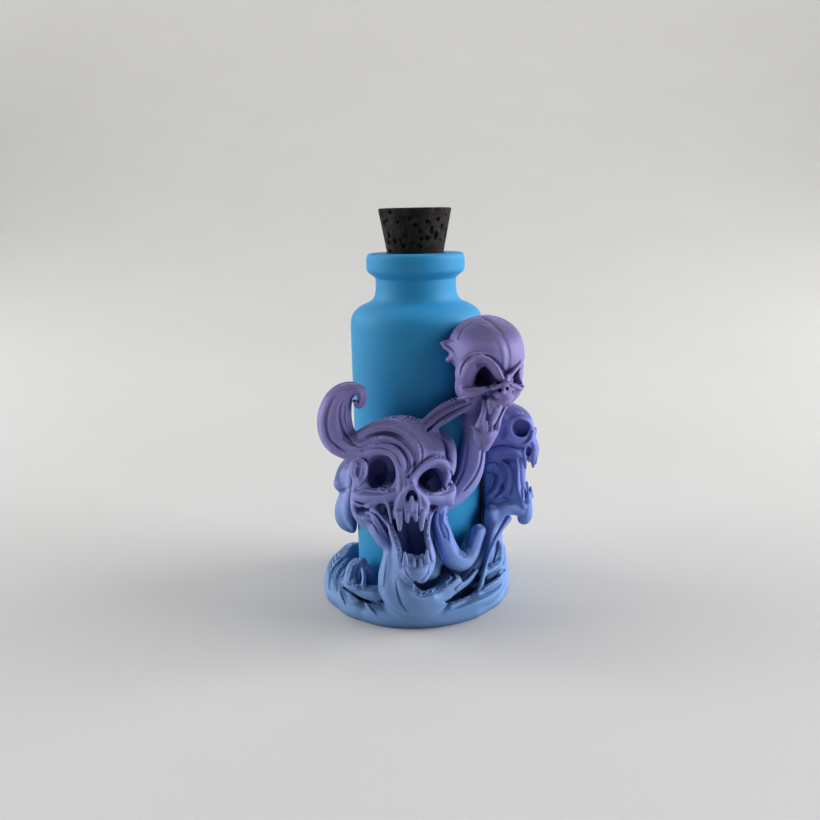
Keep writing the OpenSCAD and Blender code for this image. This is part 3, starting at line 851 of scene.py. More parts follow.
for a, b, ra, rb in (((405.6, 564, -39.2), (404.8, 552.6, -39.5), 1.05, 0.32), ((426.9, 562, -38.8), (426.8, 550.4, -39.1), 0.95, 0.28),
                     ((413.6, 565, -39.4), (414, 558.6, -39.6), 0.75, 0.28), ((420.6, 565, -39.2), (421, 559.0, -39.4), 0.7, 0.28),
                     ((409.2, 566, -39.4), (409.5, 561.8, -39.6), 0.55, 0.28)):
    spike(n, a, b, ra, rb, 0.22)
relief([(405, 566, 1.4, -0.2), (408, 574, 1.6, -0.4), (414, 580, 1.4, -0.3)], -44, -34)
relief([(429, 564, 1.4, -0.2), (427, 573, 1.6, -0.4), (421, 580, 1.4, -0.3)], -44, -34)

# closed back of the mouth
n = Node("front_throat", 1.2)
wrap(n, [[-2, 44, 22.4, 8.6, 1.9], [0, 38, 22.6, 8.8, 2.0], [2, 30, 22.8, 7.4, 2.2], [3, 22, 23.2, 6.2, 2.4], [3, 15.5, 24.2, 4.6, 3.0]], 1.0)
strand(n, [(390, 506, 24.5, 7, 2.4), (393, 519, 24.5, 7.5, 2.4), (396, 532, 24.5, 8, 2.4), (399, 545, 24.5, 8, 2.4)], 1.2)
wrap(n, [[-14, 40, 24.0, 2.0, 3.4], [-13, 34, 25.0, 1.6, 4.0], [-10, 27, 25.6, 1.4, 4.4], [-7, 20, 26.4, 1.6, 4.4]], 1.0)

# ---------------------------------------------------------------------------
# Drips at the front
# ---------------------------------------------------------------------------
n = Node("front_drip", 1.0, [((-13, -28, 38), 5, 2.0), ((-4, -30, 5), 6, 1.6)])
strand(n, [(355.5, 499, 31.0, 3.6, 2.4), (354.5, 507, 31.0, 3.8, 2.6), (358, 514.5, 31.0, 4.4, 2.8), (365, 517.5, 31.0, 5.2, 3.0),
           (373, 518, 31.4, 5.6, 3.0)], 1.0)
strand(n, [(362, 494, 26.4, 12, 2.4), (366, 506, 26.6, 16, 2.6), (374, 517, 27.0, 16, 2.6), (382, 528, 27.4, 10, 2.4), (388, 538, 28, 6, 2.2)], 1.2)
strand(n, [(378, 505, 31.6, 6.0, 3.4), (377, 516, 31.4, 8.4, 4.2), (378.5, 527, 31.0, 9.4, 4.6), (383, 537, 30.4, 8.6, 4.6),
           (390, 547, 30.0, 7.2, 4.4), (391.5, 558, 30.4, 8.6, 4.4), (391.5, 569, 31.0, 11.5, 4.8), (393.5, 581, 31.8, 15.8, 5.4),
           (399, 593, 32.4, 17.8, 5.8), (410, 602.5, 32.8, 16.0, 5.6), (423, 604.5, 32.6, 13.0, 5.0), (435.5, 598.5, 32.0, 11.2, 4.4),
           (446, 589, 31.0, 9.8, 4.0), (453.5, 581.5, 30.0, 8.0, 3.6)], 1.1, m=7, flutes=(5, 0.14, 0.5))
strand(n, [(397, 556, 31.0, 4, 2.4), (398.6, 568, 32.2, 6, 3.2), (401.5, 581, 33.6, 8, 3.8), (408.5, 592, 34.4, 8.5, 3.8), (420, 598, 34.2, 7, 3.4), (431, 596, 33.4, 5, 2.8)], 3.0)
hollow(420, 588, 31.4, 8.0, 4.6, 2.6, 1.0, roll=-25)
relief([(360, 511, 1.4, 0.2), (369, 512.5, 1.8, 0.6), (376.5, 518, 1.8, 0.7), (382, 527, 1.8, 0.6), (387, 536, 1.4, 0.3)], -36, -20)
relief([(366, 518.5, 1.4, -0.3), (374, 524, 1.8, -0.6), (378.5, 532, 1.6, -0.4)], -36, -20)
relief([(381, 512, 1.2, -0.3), (386, 521, 1.6, -0.6), (389, 531, 1.4, -0.4)], -36, -20)
relief([(396.5, 580, 1.2, -0.2), (397.8, 592, 1.6, -0.5), (402, 604, 1.6, -0.5), (409, 613, 1.2, -0.2)], -40, -20)
relief([(386, 556, 1.6, 0.2), (384, 570, 2.0, 0.4), (382.5, 585, 2.0, 0.3)], -40, -20)

n = Node("right_drip", 1.0, [((8, -27, 38), 5, 1.8)])
strand(n, [(442, 499, 29.0, 6.0, 3.2), (439.5, 509, 28.6, 6.8, 3.6), (438.5, 520, 28.2, 7.6, 3.8), (442.0, 532, 28.0, 9.6, 4.0),
           (446.0, 545, 28.2, 10.4, 4.2), (451.5, 556, 28.6, 11.4, 4.4), (460.5, 560.5, 28.6, 11.2, 4.4), (469.5, 554.5, 28.2, 8.8, 4.0),
           (474.5, 545.5, 27.8, 7.0, 3.4), (476.8, 537.5, 27.4, 7.0, 3.2), (478.3, 531.5, 27.0, 7.6, 3.2)], 1.0, m=6, flutes=(5, 0.12, 0.4))
relief([(445.5, 510, 1.6, 0.3), (443.5, 520, 2.0, 0.6), (449, 530, 2.0, 0.6), (450, 540, 1.8, 0.4)], -36, -16)
relief([(439, 514, 1.6, -0.5), (439.5, 525, 2.0, -0.7), (444, 537, 1.8, -0.5)], -36, -16)
relief([(434, 539, 1.4, 0.3), (437, 549, 1.8, 0.6), (441.5, 559, 1.6, 0.4)], -36, -16)

# ---------------------------------------------------------------------------
# Upper skull
# ---------------------------------------------------------------------------
fu = Frame((18.9, -21.4, 80.2), az=24, nod=0, roll=6, s=1.0)


def pf(fr, u, v, ly):
    """The point under pixel (u, v) where the frame's own y is ly, in the frame's numbers."""
    d = FW + RT * (u - 410) / F - UP * (v - 410) / F
    o = fr.m.T @ (CAM - fr.c) / fr.s
    e = fr.m.T @ d / fr.s
    return o + e * (ly - o[1]) / e[1]


def face_strand(node, fr, rows, k=1.0, m=5, far=0.84, kind="add", flutes=None):
    """Strand over a face: rows of (u, v, own y of its surface, half-width in pixels,
    half-thickness), with its twin on the far side of the face, far times as far out."""
    pts, w, h = [], [], []
    for u, v, ly, wp, hh in rows:
        p = pf(fr, u, v, ly)
        pts.append(p + np.array([0, hh, 0]))
        w.append(wp * mm(fr.world(p)) / fr.s)
        h.append(hh)
    pts = np.array(pts)
    for s in ((1, -far) if far else (1,)):
        shape = Sweep(pts * [s, 1, 1], w, h, up=(0, -1, 0), m=m, flutes=flutes)
        keep(shape, k, fr) if kind == "keep" else getattr(node, kind)(shape, k, fr)


n = Node("upper_skull", 1.1)
n.add(Ell((0.9, 1.2, 1.2), (10.7, 10.4, 9.3)), 2, fu)
n.add(Ell((-0.2, -3.2, -0.6), (8.8, 7.4, 7.6)), 3, fu)
n.add(Ell((0.6, -5.0, -7.0), (5.6, 5.0, 5.0)), 2, fu)
# near temple and cheek, then the thick angry brow
lump(n, 467.5, 382, -25.6, 11, 15, 4.6, 1.5)
lump(n, 474, 394, -28.4, 9, 7, 3.4, 1.2)
face_strand(n, fu, [(467, 389, -6.2, 4.6, 2.2), (467.6, 377, -8.0, 6.4, 3.0), (472.5, 366, -9.6, 6.2, 3.0), (481, 359.6, -10.8, 6.0, 3.2),
                    (490.6, 361.0, -12.4, 4.9, 2.9), (497.6, 367.8, -13.4, 4.5, 2.7), (501.8, 375.4, -13.6, 3.9, 2.2), (504.2, 380.4, -13.2, 3.0, 1.6)],
            0.6, far=0, kind="keep")
# outer rim of the socket, cheekbone and its hanging lobe
face_strand(n, fu, [(465, 379, -4.8, 3.0, 1.4), (465.5, 386, -5.8, 3.6, 1.7), (470, 392.0, -7.8, 5.6, 2.4), (479, 392.6, -9.8, 5.2, 2.4),
                    (488, 389.5, -11.0, 3.6, 1.9), (497, 386, -12.0, 3.2, 1.6)], 0.9)
p, q = pf(fu, 468.5, 394, -6.8), pf(fu, 471, 400.5, -7.2)
n.add(Cone(p + [0, 1.6, 0], q + [0, 1.2, 0], 1.7, 0.9), 0.7, fu)
strand(n, [(471.5, 389, -31.2, 3.4, 1.8), (470.6, 381, -31.6, 4.6, 2.2), (472.4, 373, -32.6, 4.6, 2.2), (477, 366.5, -34.0, 3.4, 1.8)], 1.0, kind="keep")
strand(n, [(493.5, 388.6, -35.4, 1.8, 1.0), (499, 386.4, -36.0, 2.1, 1.2), (504.5, 384.6, -36.3, 2.1, 1.2), (509.5, 382.6, -35.4, 1.8, 1.0)], 0.6, kind="keep")
strand(n, [(505.5, 385, -36.0, 1.3, 0.8), (504.4, 389, -36.3, 1.3, 0.8), (503.4, 393, -36.3, 1.8, 0.9)], 0.5, kind="keep")
# far brow and cheek
strand(n, [(508.5, 377.5, -33.0, 2.2, 1.3), (513.5, 371.6, -31.0, 3.0, 1.7), (518.4, 365.4, -28.2, 3.0, 1.8), (521.4, 358, -25.4, 2.4, 1.6)],
       0.9, kind="keep")
strand(n, [(509, 384, -33.0, 2.0, 1.1), (514, 385.6, -31.4, 2.6, 1.4), (518.0, 387, -28.6, 3.4, 2.2), (518.8, 378, -25.8, 4.0, 2.6),
           (519.6, 366, -24.4, 4.0, 2.6)], 1.2)
strand(n, [(517.5, 390, -28.6, 3.4, 2.2), (513.5, 397, -29.6, 3.6, 2.2), (508.5, 402.5, -30.6, 3.0, 1.8)], 0.9)
# the wall behind the far socket
strand(n, [(513.0, 386, -24.8, 4.0, 0.9), (514.5, 377, -24.4, 4.2, 0.9), (516.5, 368, -23.6, 4.0, 0.9)], 0.6, kind="keep")
# nose, upper jaw and its teeth
strand(n, [(507.0, 376, -33.4, 2.6, 1.3), (506.4, 381, -34.0, 2.8, 1.5), (504.8, 386, -34.4, 3.6, 1.6), (502.6, 392, -34.2, 5.6, 1.9)], 0.7)
lump(n, 501.5, 397.5, -34.4, 12.5, 9.0, 5.0, 1.3, az=24)
lump(n, 500.5, 402.5, -34.6, 11.5, 5.0, 3.4, 0.9, az=24)
for a, b, ra, rb in (((491, 401, -33.2), (489.8, 413.4, -34.0), 1.15, 0.32), ((499, 402, -34.0), (498.8, 407.6, -34.4), 0.8, 0.3),
                     ((504.2, 402, -33.6), (504.2, 406.6, -34.0), 0.75, 0.3), ((508.6, 400, -32.4), (509.0, 405.4, -32.6), 0.7, 0.3),
                     ((494.8, 402, -34.0), (494.6, 406.6, -34.4), 0.7, 0.3)):
    spike(n, a, b, ra, rb, 0.25)
# folds that flow back over the near temple
for rows in ([(459, 344, 28, 4.6, 2.0), (452, 344.5, 25.6, 4.8, 2.2), (446, 344, 24.6, 3.6, 1.8), (442.5, 343.4, 24.0, 2.2, 1.2)],
             [(462, 352, 29.6, 4.0, 1.8), (455, 355.5, 28.4, 4.0, 1.8), (449.5, 359, 26.6, 3.2, 1.5)],
             [(445, 347, 25.0, 2.2, 1.1), (452.5, 352.5, 27.6, 2.4, 1.2), (458, 362, 29.6, 2.4, 1.2), (461, 373, 30.4, 2.4, 1.2), (460.6, 383, 30.4, 2.6, 1.2)],
             [(462, 350, 30.6, 1.8, 0.9), (463, 360, 31.2, 1.8, 0.9), (464.5, 369, 31.4, 1.6, 0.8)],
             [(460, 374, 29.6, 3.0, 1.6), (458.5, 385, 29.2, 3.8, 2.0), (460.5, 394, 29.2, 3.8, 1.8), (465.5, 398.5, 29.8, 2.8, 1.4)]):
    strand(n, rows, 0.8)
n.cut(Ell((-1.5, -2.4, -14.2), (4.6, 6.0, 3.0)), 1.0, fu)
# sockets, nostrils and the hollow behind the upper jaw
p = pf(fu, 484.6, 377.4, -9.4)
late_cut(Ell(p + [0.6, 2.4, 0], (2.95, 6.6, 3.15), (0, 0, -4)), 0.3, fu)
late_cut(Ell(p + [1.2, 4.6, 0.2], (2.2, 4.6, 2.2)), 0.6, fu)
late_cut(Ell(px(516.0, 378.6, -31.0), (1.2, 2.2, 1.7), (0, -25, 40)), 0.35)
late_cut(Ell(px(500.6, 390.2, -36.0), (0.8, 2.6, 0.75), (0, -20, 24)), 0.25)
late_cut(Ell(px(508.0, 388.0, -35.6), (0.85, 2.6, 1.0), (0, 18, 24)), 0.25)
hollow(484, 397.6, -31.6, 4.6, 2.6, 2.6, 0.4, roll=-18)
hollow(512.5, 394.5, -31.6, 2.2, 3.6, 1.6, 0.5, roll=20)
YU0, YU1 = -40, -16
relief([(482, 318, 1.6, -0.2), (493, 325, 2.6, -0.25), (502.5, 336, 2.8, -0.25), (507.8, 350, 2.8, -0.25), (508.6, 362, 2.6, -0.2), (507.6, 373, 2.0, -0.2)], YU0, YU1)
relief([(478, 323, 1.8, 0.2), (490, 330, 3.0, 0.12), (498.5, 340, 3.0, 0.15), (503.2, 351, 3.0, 0.15), (504.2, 362, 2.6, 0.2), (503.6, 371, 1.8, 0.3)], YU0, YU1)
relief([(461, 375, 1.4, -0.3), (463, 366, 1.8, -0.6), (471, 357.4, 2.0, -0.6), (483, 355.4, 2.0, -0.5), (494, 360.0, 2.0, -0.5), (502.4, 369, 1.8, -0.4),
        (506.6, 376, 1.4, -0.3)], YU0, YU1)
dent(500.2, 390.2, 1.7, 2.1, -10, -1.3, YU0, YU1)
dent(506.8, 388.6, 1.7, 2.1, 10, -1.2, YU0, YU1)
relief([(511.5, 379.5, 1.2, -0.3), (516.5, 372.5, 1.2, -0.4), (522.5, 364.5, 1.0, -0.2)], YU0, YU1)
relief([(459, 338, 1.6, -0.3), (463, 330, 2.0, -0.4), (472, 323.5, 1.8, -0.2)], YU0, YU1)
relief([(466, 388.5, 1.4, 0.3), (476, 388.2, 1.6, 0.4), (487, 386.4, 1.5, 0.4), (497, 383.6, 1.3, 0.3)], YU0, YU1)

n = Node("upper_jaw", 0.7, [((20, -26, 68), 4, 1.2)])
strand(n, [(484, 396, -30.6, 2.8, 1.8), (484.4, 404, -31.4, 2.4, 2.2), (483.6, 412, -32.0, 2.6, 2.6), (481.6, 420, -32.2, 3.8, 2.8),
           (479.5, 429, -32.4, 5.4, 2.6), (479.5, 438, -32.4, 6.0, 2.5), (481.5, 446, -32.0, 5.0, 2.2)], 0.8)
strand(n, [(510, 400, -29.6, 2.6, 1.8), (505, 408, -30.2, 1.8, 2.2), (501, 416, -30.8, 1.8, 2.6), (498, 424, -31.4, 2.8, 2.6),
           (494, 432, -31.8, 4.4, 2.6), (488.5, 440, -32.2, 5.4, 2.4), (484.5, 447, -32.0, 5.0, 2.0)], 0.8)
lump(n, 486.5, 435, -33.2, 9.5, 9.0, 2.8, 0.9)
for a, b, ra, rb in (((485.8, 429, -33.4), (486.3, 421.2, -33.9), 0.8, 0.28), ((497.2, 428, -32.4), (499.0, 420.4, -32.8), 0.72, 0.26),
                     ((491.4, 430, -33.4), (492.0, 425.2, -33.8), 0.55, 0.26), ((476.6, 432, -32.4), (472.6, 426.6, -32.6), 0.8, 0.35)):
    spike(n, a, b, ra, rb, 0.22)
# the wall at the back of its mouth
strand(n, [(493, 402, -22.6, 9, 1.8), (492, 413, -23.0, 8.5, 2.0), (489, 424, -24.6, 8, 2.4), (485, 436, -27.4, 7, 2.6)], 1.2)

n = Node("upper_tail", 0.8, [((15, -20, 66), 6, 2.0)])
strand(n, [(478, 392, 26.0, 12, 2.8), (475, 404, 26.0, 12, 2.8), (472, 418, 25.8, 10, 2.8), (473.5, 433, 25.6, 10, 2.8),
           (473, 447, 25.8, 12.5, 3.0), (471.5, 461, 26.0, 13.5, 3.0), (468.5, 474, 26.0, 13.2, 2.9), (462, 486, 26.0, 12, 2.7),
           (453, 496, 26.2, 10, 2.5), (444, 504, 26.6, 7.5, 2.4)], 1.4, m=6, flutes=(5, 0.1, 0.4))
relief([(481, 440, 1.4, -0.3), (481.5, 452, 1.8, -0.6), (479.5, 465, 1.8, -0.6), (473.5, 478, 1.8, -0.5), (464, 490, 1.6, -0.4)], -34, -12)
relief([(467, 444, 1.6, -0.3), (466, 458, 2.0, -0.6), (462.5, 472, 2.0, -0.5), (456, 485, 1.6, -0.3)], -34, -12)

n = Node("upper_tendril", 0.9, [((2, -25, 58), 6, 1.8), ((15, -20, 67), 5, 1.8)])
strand(n, [(482, 398, 26.4, 10, 2.6), (470, 401.5, 26.2, 9.0, 2.6), (459, 405.5, 26.2, 9.0, 2.7), (447, 411.5, 26.4, 9.8, 2.8),
           (434, 420.5, 27.0, 9.0, 2.8), (423, 430, 28.2, 7.0, 2.8), (414, 438, -30.4, 5.0, 2.4)], 1.2, m=6)
relief([(474, 396, 1.4, 0.2), (462, 398.5, 1.8, 0.5), (448, 403.5, 1.8, 0.6), (435, 411.5, 1.8, 0.6), (423, 421.5, 1.6, 0.4)], -34, -14)
relief([(471, 403.5, 1.4, -0.3), (459, 408, 1.8, -0.6), (447, 414, 2.0, -0.7), (436, 422, 2.0, -0.8), (427, 431, 1.8, -0.7)], -34, -14)
relief([(468, 409, 1.4, 0.2), (457, 413.5, 1.6, 0.4), (445, 420.5, 1.6, 0.4)], -34, -14)
hollow(428.2, 429.6, 29.4, 2.2, 1.6, 1.8, 0.5, roll=-30)
relief([(440, 433, 1.2, -0.3), (444, 436, 1.6, -0.5), (448, 437, 1.2, -0.3)], -34, -14)


# ---------------------------------------------------------------------------
# Right skull, seen from its side, with its jaw, throat and neck
# ---------------------------------------------------------------------------
def ps(fr, u, v, lx):
    """The point under pixel (u, v) where the frame's own x is lx, in the frame's numbers."""
    d = FW + RT * (u - 410) / F - UP * (v - 410) / F
    o = fr.m.T @ (CAM - fr.c) / fr.s
    e = fr.m.T @ d / fr.s
    return o + e * (lx - o[0]) / e[0]


def side_strand(node, fr, rows, k=1.0, m=5, kind="add", twin=True):
    """Strand on the side of a head: rows of (u, v, own x of its surface, half-width in
    pixels, half-thickness), with its twin on the other side."""
    pts, w, h = [], [], []
    for u, v, lx, wp, hh in rows:
        p = ps(fr, u, v, lx)
        pts.append(p + np.array([hh, 0, 0]))
        w.append(wp * mm(fr.world(p)) / fr.s)
        h.append(hh)
    pts = np.array(pts)
    for s in ((1, -1) if twin else (1,)):
        shape = Sweep(pts * [s, 1, 1], w, h, up=(-s, 0, 0), m=m)
        keep(shape, k, fr) if kind == "keep" else getattr(node, kind)(shape, k, fr)


def side_spike(node, fr, a, b, ra, rb, k=0.25, twin=True):
    p, q = ps(fr, *a), ps(fr, *b)
    for s in ((1, -1) if twin else (1,)):
        node.add(Cone(p * [s, 1, 1], q * [s, 1, 1], ra, rb), k, fr)


fr2 = Frame((26.0, -5.4, 54.4), az=70, nod=-2, roll=0, s=1.0)
n = Node("right_skull", 0.9)
n.add(Ell((0, 0.6, 0.1), (6.8, 8.6, 7.9)), 2, fr2)
n.add(Ell((0, -3.5, 0.2), (5.6, 5.9, 6.2)), 2, fr2)
n.add(Ell((0, -4.2, -5.0), (4.6, 5.2, 4.6)), 2, fr2)
n.add(Cone((0, -8.6, -1.0), (0, -9.3, -5.0), 1.2, 1.2), 0.9, fr2)
n.add(Ell((0, -7.2, -7.2), (3.4, 3.5, 3.2)), 1.0, fr2)
side_strand(n, fr2, [(508.5, 434, -5.0, 2.6, 1.3), (508.6, 426, -5.6, 3.2, 1.6), (512.5, 420.0, -5.8, 3.4, 1.8), (519.5, 417.8, -5.4, 3.4, 1.8),
                     (526.4, 421.0, -4.2, 3.0, 1.6), (530.6, 427.5, -2.8, 2.4, 1.3)], 0.7, twin=False)
side_strand(n, fr2, [(509.5, 434, -5.2, 2.2, 1.1), (512, 440.5, -5.4, 2.4, 1.2), (518, 444.6, -5.2, 2.4, 1.3), (524.5, 444.6, -4.6, 2.4, 1.2),
                     (530, 440, -3.4, 2.2, 1.1), (532, 433, -2.6, 2.0, 1.0)], 0.6)
side_strand(n, fr2, [(491, 452, -4.8, 4.5, 1.8), (499, 450.5, -5.6, 4.6, 1.9), (508, 450.5, -6.0, 4.8, 2.0), (515, 452.5, -5.8, 4.8, 2.0),
                     (519.5, 456, -5.2, 3.4, 1.5)], 0.8)
side_strand(n, fr2, [(497.5, 452, -5.0, 3.5, 1.6), (493, 458, -4.6, 4.4, 1.8), (490, 465, -4.2, 3.4, 1.5)], 0.8)
side_strand(n, fr2, [(509, 421, -5.6, 2.4, 1.1), (502, 417.5, -6.2, 2.6, 1.2), (495, 416, -6.4, 2.4, 1.0)], 0.9)
side_strand(n, fr2, [(531.5, 441, -2.2, 2.4, 1.4), (534, 448, -1.8, 2.6, 1.6), (533.5, 456, -1.8, 2.6, 1.6)], 0.7)
side_spike(n, fr2, (523.5, 452, -3.6), (525.6, 468.2, -3.8), 1.15, 0.35)
side_spike(n, fr2, (532.5, 452, -1.9), (533.2, 466.8, -1.7), 1.35, 0.38)
side_spike(n, fr2, (528.6, 453, -2.6), (529.4, 461.5, -2.6), 0.8, 0.35)
n.cut(Ell((0, -3.2, -11.4), (3.6, 5.0, 2.6)), 0.8, fr2)
for s in (1, -1):
    m3 = np.array([s, 1, 1])
    late_cut(Ell((ps(fr2, 520.4, 428.8, -4.9) + [0.6, 0, 0]) * m3, (3.0, 2.75, 2.7), (24, 0, 0)), 0.4, fr2)
    late_cut(Ell((ps(fr2, 521.0, 430.8, -3.2) + [0.4, 0, 0]) * m3, (1.7, 1.9, 2.0)), 0.5, fr2)
    late_cut(Ell(ps(fr2, 528.0, 451.5, -3.2) * m3, (1.5, 0.75, 1.5)), 0.4, fr2)
    late_cut(Ell((ps(fr2, 507.0, 460.8, -5.4)) * m3, (1.8, 2.6, 0.9)), 0.5, fr2)
YR0, YR1 = -22, 2
dent(502.5, 432.5, 5.0, 9.0, 10, -1.1, YR0, YR1)
relief([(506, 442, 1.6, -0.4), (514, 447.4, 1.6, -0.5), (523, 448.6, 1.4, -0.4)], YR0, YR1)
relief([(492, 447, 1.6, -0.3), (500, 444.5, 2.0, -0.5), (507, 445, 1.6, -0.3)], YR0, YR1)

n = Node("right_jaw", 0.7, [((27, -12, 44), 4, 1.2), ((27, -8, 30), 5, 1.2)])
side_strand(n, fr2, [(506, 457, -4.6, 9.0, 1.5), (508, 468, -4.8, 9.6, 1.5), (509, 480, -4.8, 9.8, 1.5), (510.5, 491, -4.4, 10, 1.6),
                     (513.5, 501, -3.8, 9.5, 1.8), (517.5, 508, -3.2, 8.5, 2.0)], 1.0)
side_strand(n, fr2, [(515.8, 457, -5.2, 1.8, 1.0), (517.2, 466, -5.4, 1.7, 1.0), (517.4, 477, -5.4, 1.7, 1.0), (517.6, 488, -5.0, 1.8, 1.0),
                     (520, 498, -4.2, 2.2, 1.2), (523, 507, -3.4, 3.0, 1.4)], 0.6)
side_strand(n, fr2, [(516, 505, -3.4, 6.5, 2.2), (520.5, 511, -3.0, 7.0, 2.6), (522.8, 517, -2.6, 6.8, 2.6), (522.6, 520, -2.0, 6.0, 2.2)], 0.9)
side_strand(n, fr2, [(527.6, 497, -1.8, 2.0, 1.6), (527.2, 505, -1.8, 3.0, 1.9), (525.8, 513, -2.0, 4.4, 2.2), (524, 519, -1.8, 5.0, 2.0)], 0.8)
side_spike(n, fr2, (523.0, 499, -3.4), (522.5, 489.2, -3.4), 0.8, 0.3)
side_spike(n, fr2, (527.6, 500, -2.0), (528.2, 491.4, -1.9), 1.1, 0.36)
late_cut(Ell(ps(fr2, 525.0, 499.0, -3.9), (0.9, 0.45, 1.1)), 0.3, fr2)

n = Node("right_neck", 0.5, [((24, -8, 44), 6, 1.6), ((24, -6, 8), 7, 1.6), ((27, -10, 32), 4, 1.2)])
wrap(n, [[94, 3, 24.6, 5.0, 4.6], [92, 12, 23.6, 6.0, 3.8], [92, 22, 23.2, 8.0, 3.4], [92, 32, 23.0, 9.0, 3.2], [92, 42, 23.0, 9.4, 3.2],
         [90, 51, 22.9, 8.6, 3.0]], 1.2, flutes=(5, 0.15, 0.6))
# wall of the throat beside the bottle
strand(n, [(494, 450, -9.0, 10, 3), (494.5, 464, -9.0, 11.5, 3), (495, 478, -9.0, 12, 3), (496, 491, -9.6, 12.5, 3.4), (496, 504, -10.6, 12, 3.4)], 1.0)
# thick band from under the jaw down beside the bottle
strand(n, [(519, 510, -11.0, 6.0, 2.4), (510, 506.5, -11.8, 8.4, 3.0), (502, 508.5, -12.4, 10.4, 3.4), (495.5, 515, -13.0, 11.0, 3.6),
           (491, 525, -13.4, 8.8, 3.6), (488, 536, -14.4, 7.6, 3.4), (484, 549, -15.6, 8.4, 3.2), (477.5, 560.5, -17.0, 8.8, 3.2),
           (468, 571, -19.0, 8.0, 3.0), (457, 580, -21.0, 6.0, 2.6)], 1.0, m=6)
# arcs in the throat
for rows in ([(487, 466, 1.6, 0.3), (494, 463.5, 2.0, 0.8), (499, 470, 2.2, 1.0), (499.5, 481, 2.2, 1.0), (494.5, 491, 2.2, 0.9), (486.5, 496, 1.8, 0.4)],
             [(487, 474, 1.4, 0.3), (491, 474, 1.6, 0.7), (492.4, 481, 1.6, 0.8), (489.5, 488, 1.4, 0.4)],
             [(503, 461, 1.4, 0.2), (508.4, 468, 2.0, 0.7), (509, 480, 2.0, 0.8), (505, 491, 2.0, 0.6), (498, 497, 1.6, 0.3)]):
    relief(rows, -20, 0)
for rows in ([(492, 469, 1.2, -0.4), (495.6, 476, 1.6, -1.0), (493.4, 485, 1.4, -0.8), (488, 491, 1.2, -0.4)],
             [(500, 462, 1.2, -0.4), (504.2, 470, 1.8, -0.8), (504.4, 481, 1.8, -0.8), (500, 491, 1.6, -0.6), (493, 497.5, 1.4, -0.4)],
             [(508, 460, 1.2, -0.3), (513.6, 470, 1.8, -0.8), (513.6, 482, 1.8, -0.8), (510, 493, 1.6, -0.6)],
             [(498, 503, 1.2, -0.2), (504, 501, 1.4, -0.4), (511, 503.5, 1.2, -0.3)]):
    relief(rows, -20, 0)

n = Node("right_stem", 0.8, [((19, -20, 6), 5, 1.6), ((25, -15, 30), 5, 1.2)])
strand(n, [(508, 519, 31.6, 3.6, 1.8), (503, 526.5, 31.2, 2.6, 1.6), (497.5, 535.5, 30.8, 2.1, 1.4), (492.3, 546, 30.4, 1.9, 1.3),
           (488, 558, 30.2, 1.8, 1.3), (484.6, 570, 30.0, 1.9, 1.4), (481.8, 581, 29.8, 2.4, 1.6), (479, 591, 29.6, 4.0, 2.0),
           (474, 598, 29.6, 6.0, 2.2)], 0.8, m=6)

# ---------------------------------------------------------------------------
# Folds at the right of the plinth
# ---------------------------------------------------------------------------
n = Node("right_wave", 1.0, [((24, -12, 6), 6, 1.6)])
strand(n, [(495, 536, 28.0, 2.8, 1.8), (499.6, 544, 28.6, 3.4, 2.2), (500.6, 554, 29.0, 3.8, 2.4), (498, 563, 29.2, 4.2, 2.4),
           (490.5, 569, 29.4, 4.2, 2.2), (483, 573, 29.0, 3.8, 2.0)], 0.8, m=6)
strand(n, [(494, 545, 26.0, 6.0, 2.4), (493, 556, 26.2, 6.6, 2.6), (489, 566, 26.4, 6.0, 2.6)], 1.2)
strand(n, [(500.6, 569, 29.4, 3.8, 2.4), (497.5, 578, 30.0, 4.4, 2.8), (490, 584.4, 30.2, 4.4, 2.6), (482, 588.5, 29.8, 4.2, 2.2)], 0.7, m=6)
strand(n, [(500.6, 581, 29.4, 4.8, 3.0), (496, 589.5, 30.0, 6.0, 3.4), (486, 597, 30.4, 6.8, 3.4), (473, 603, 30.6, 6.8, 3.2),
           (459, 608.5, 30.4, 5.8, 3.0), (445, 612, 30.2, 4.2, 2.4)], 0.9, m=6)
strand(n, [(481, 560, 22.8, 9, 2.4), (486, 546, 22.8, 8.5, 2.4), (489.5, 533, 22.8, 8, 2.4), (493, 520, 22.8, 8, 2.4)], 1.2)
wrap(n, [[54, 6, 26.4, 3.6, 2.6], [57, 14, 26.2, 3.8, 2.4], [60, 22, 25.8, 3.6, 2.2], [63, 29, 25.0, 3.0, 2.2]], 1.2, flutes=(4, 0.2, 0.5))
strand(n, [(400, 596, 22.4, 12, 2.2), (420, 584, 22.4, 13, 2.2), (440, 577, 22.4, 13, 2.2), (462, 575, 22.4, 12, 2.2), (482, 568, 22.4, 10, 2.2)], 1.4)
strand(n, [(475, 571, 28.4, 3.0, 1.6), (468, 580, 28.8, 3.2, 1.7), (458, 588, 29.2, 3.4, 1.8), (447, 594, 29.6, 3.0, 1.6)], 0.8)
strand(n, [(470, 598, 29.0, 3.6, 1.8), (460, 602, 29.6, 3.4, 1.7), (450, 606, 30.0, 2.8, 1.4)], 0.8)
wrap(n, [[72, 4, 25.4, 4.4, 3.2], [84, 7, 25.2, 4.2, 3.2], [98, 9, 25.2, 4.2, 3.4], [114, 6, 25.4, 3.8, 3.2], [126, 3.6, 25.6, 2.6, 2.8]], 1.2,
     flutes=(5, 0.18, 0.6))
wrap(n, [[92, 12, 24.6, 2.0, 2.0], [100, 15, 24.6, 2.0, 2.0], [110, 13, 24.6, 1.8, 2.0], [118, 8, 24.6, 1.6, 1.8]], 0.9)
relief([(504, 570, 1.4, -0.6), (496, 577, 2.0, -1.1), (487, 583, 2.0, -1.0), (480, 590, 1.6, -0.6)], -34, 4)
relief([(470, 593, 1.8, -0.9), (460, 597, 2.4, -1.5), (451, 600.4, 2.0, -1.2), (444, 602, 1.4, -0.5)], -38, 4)
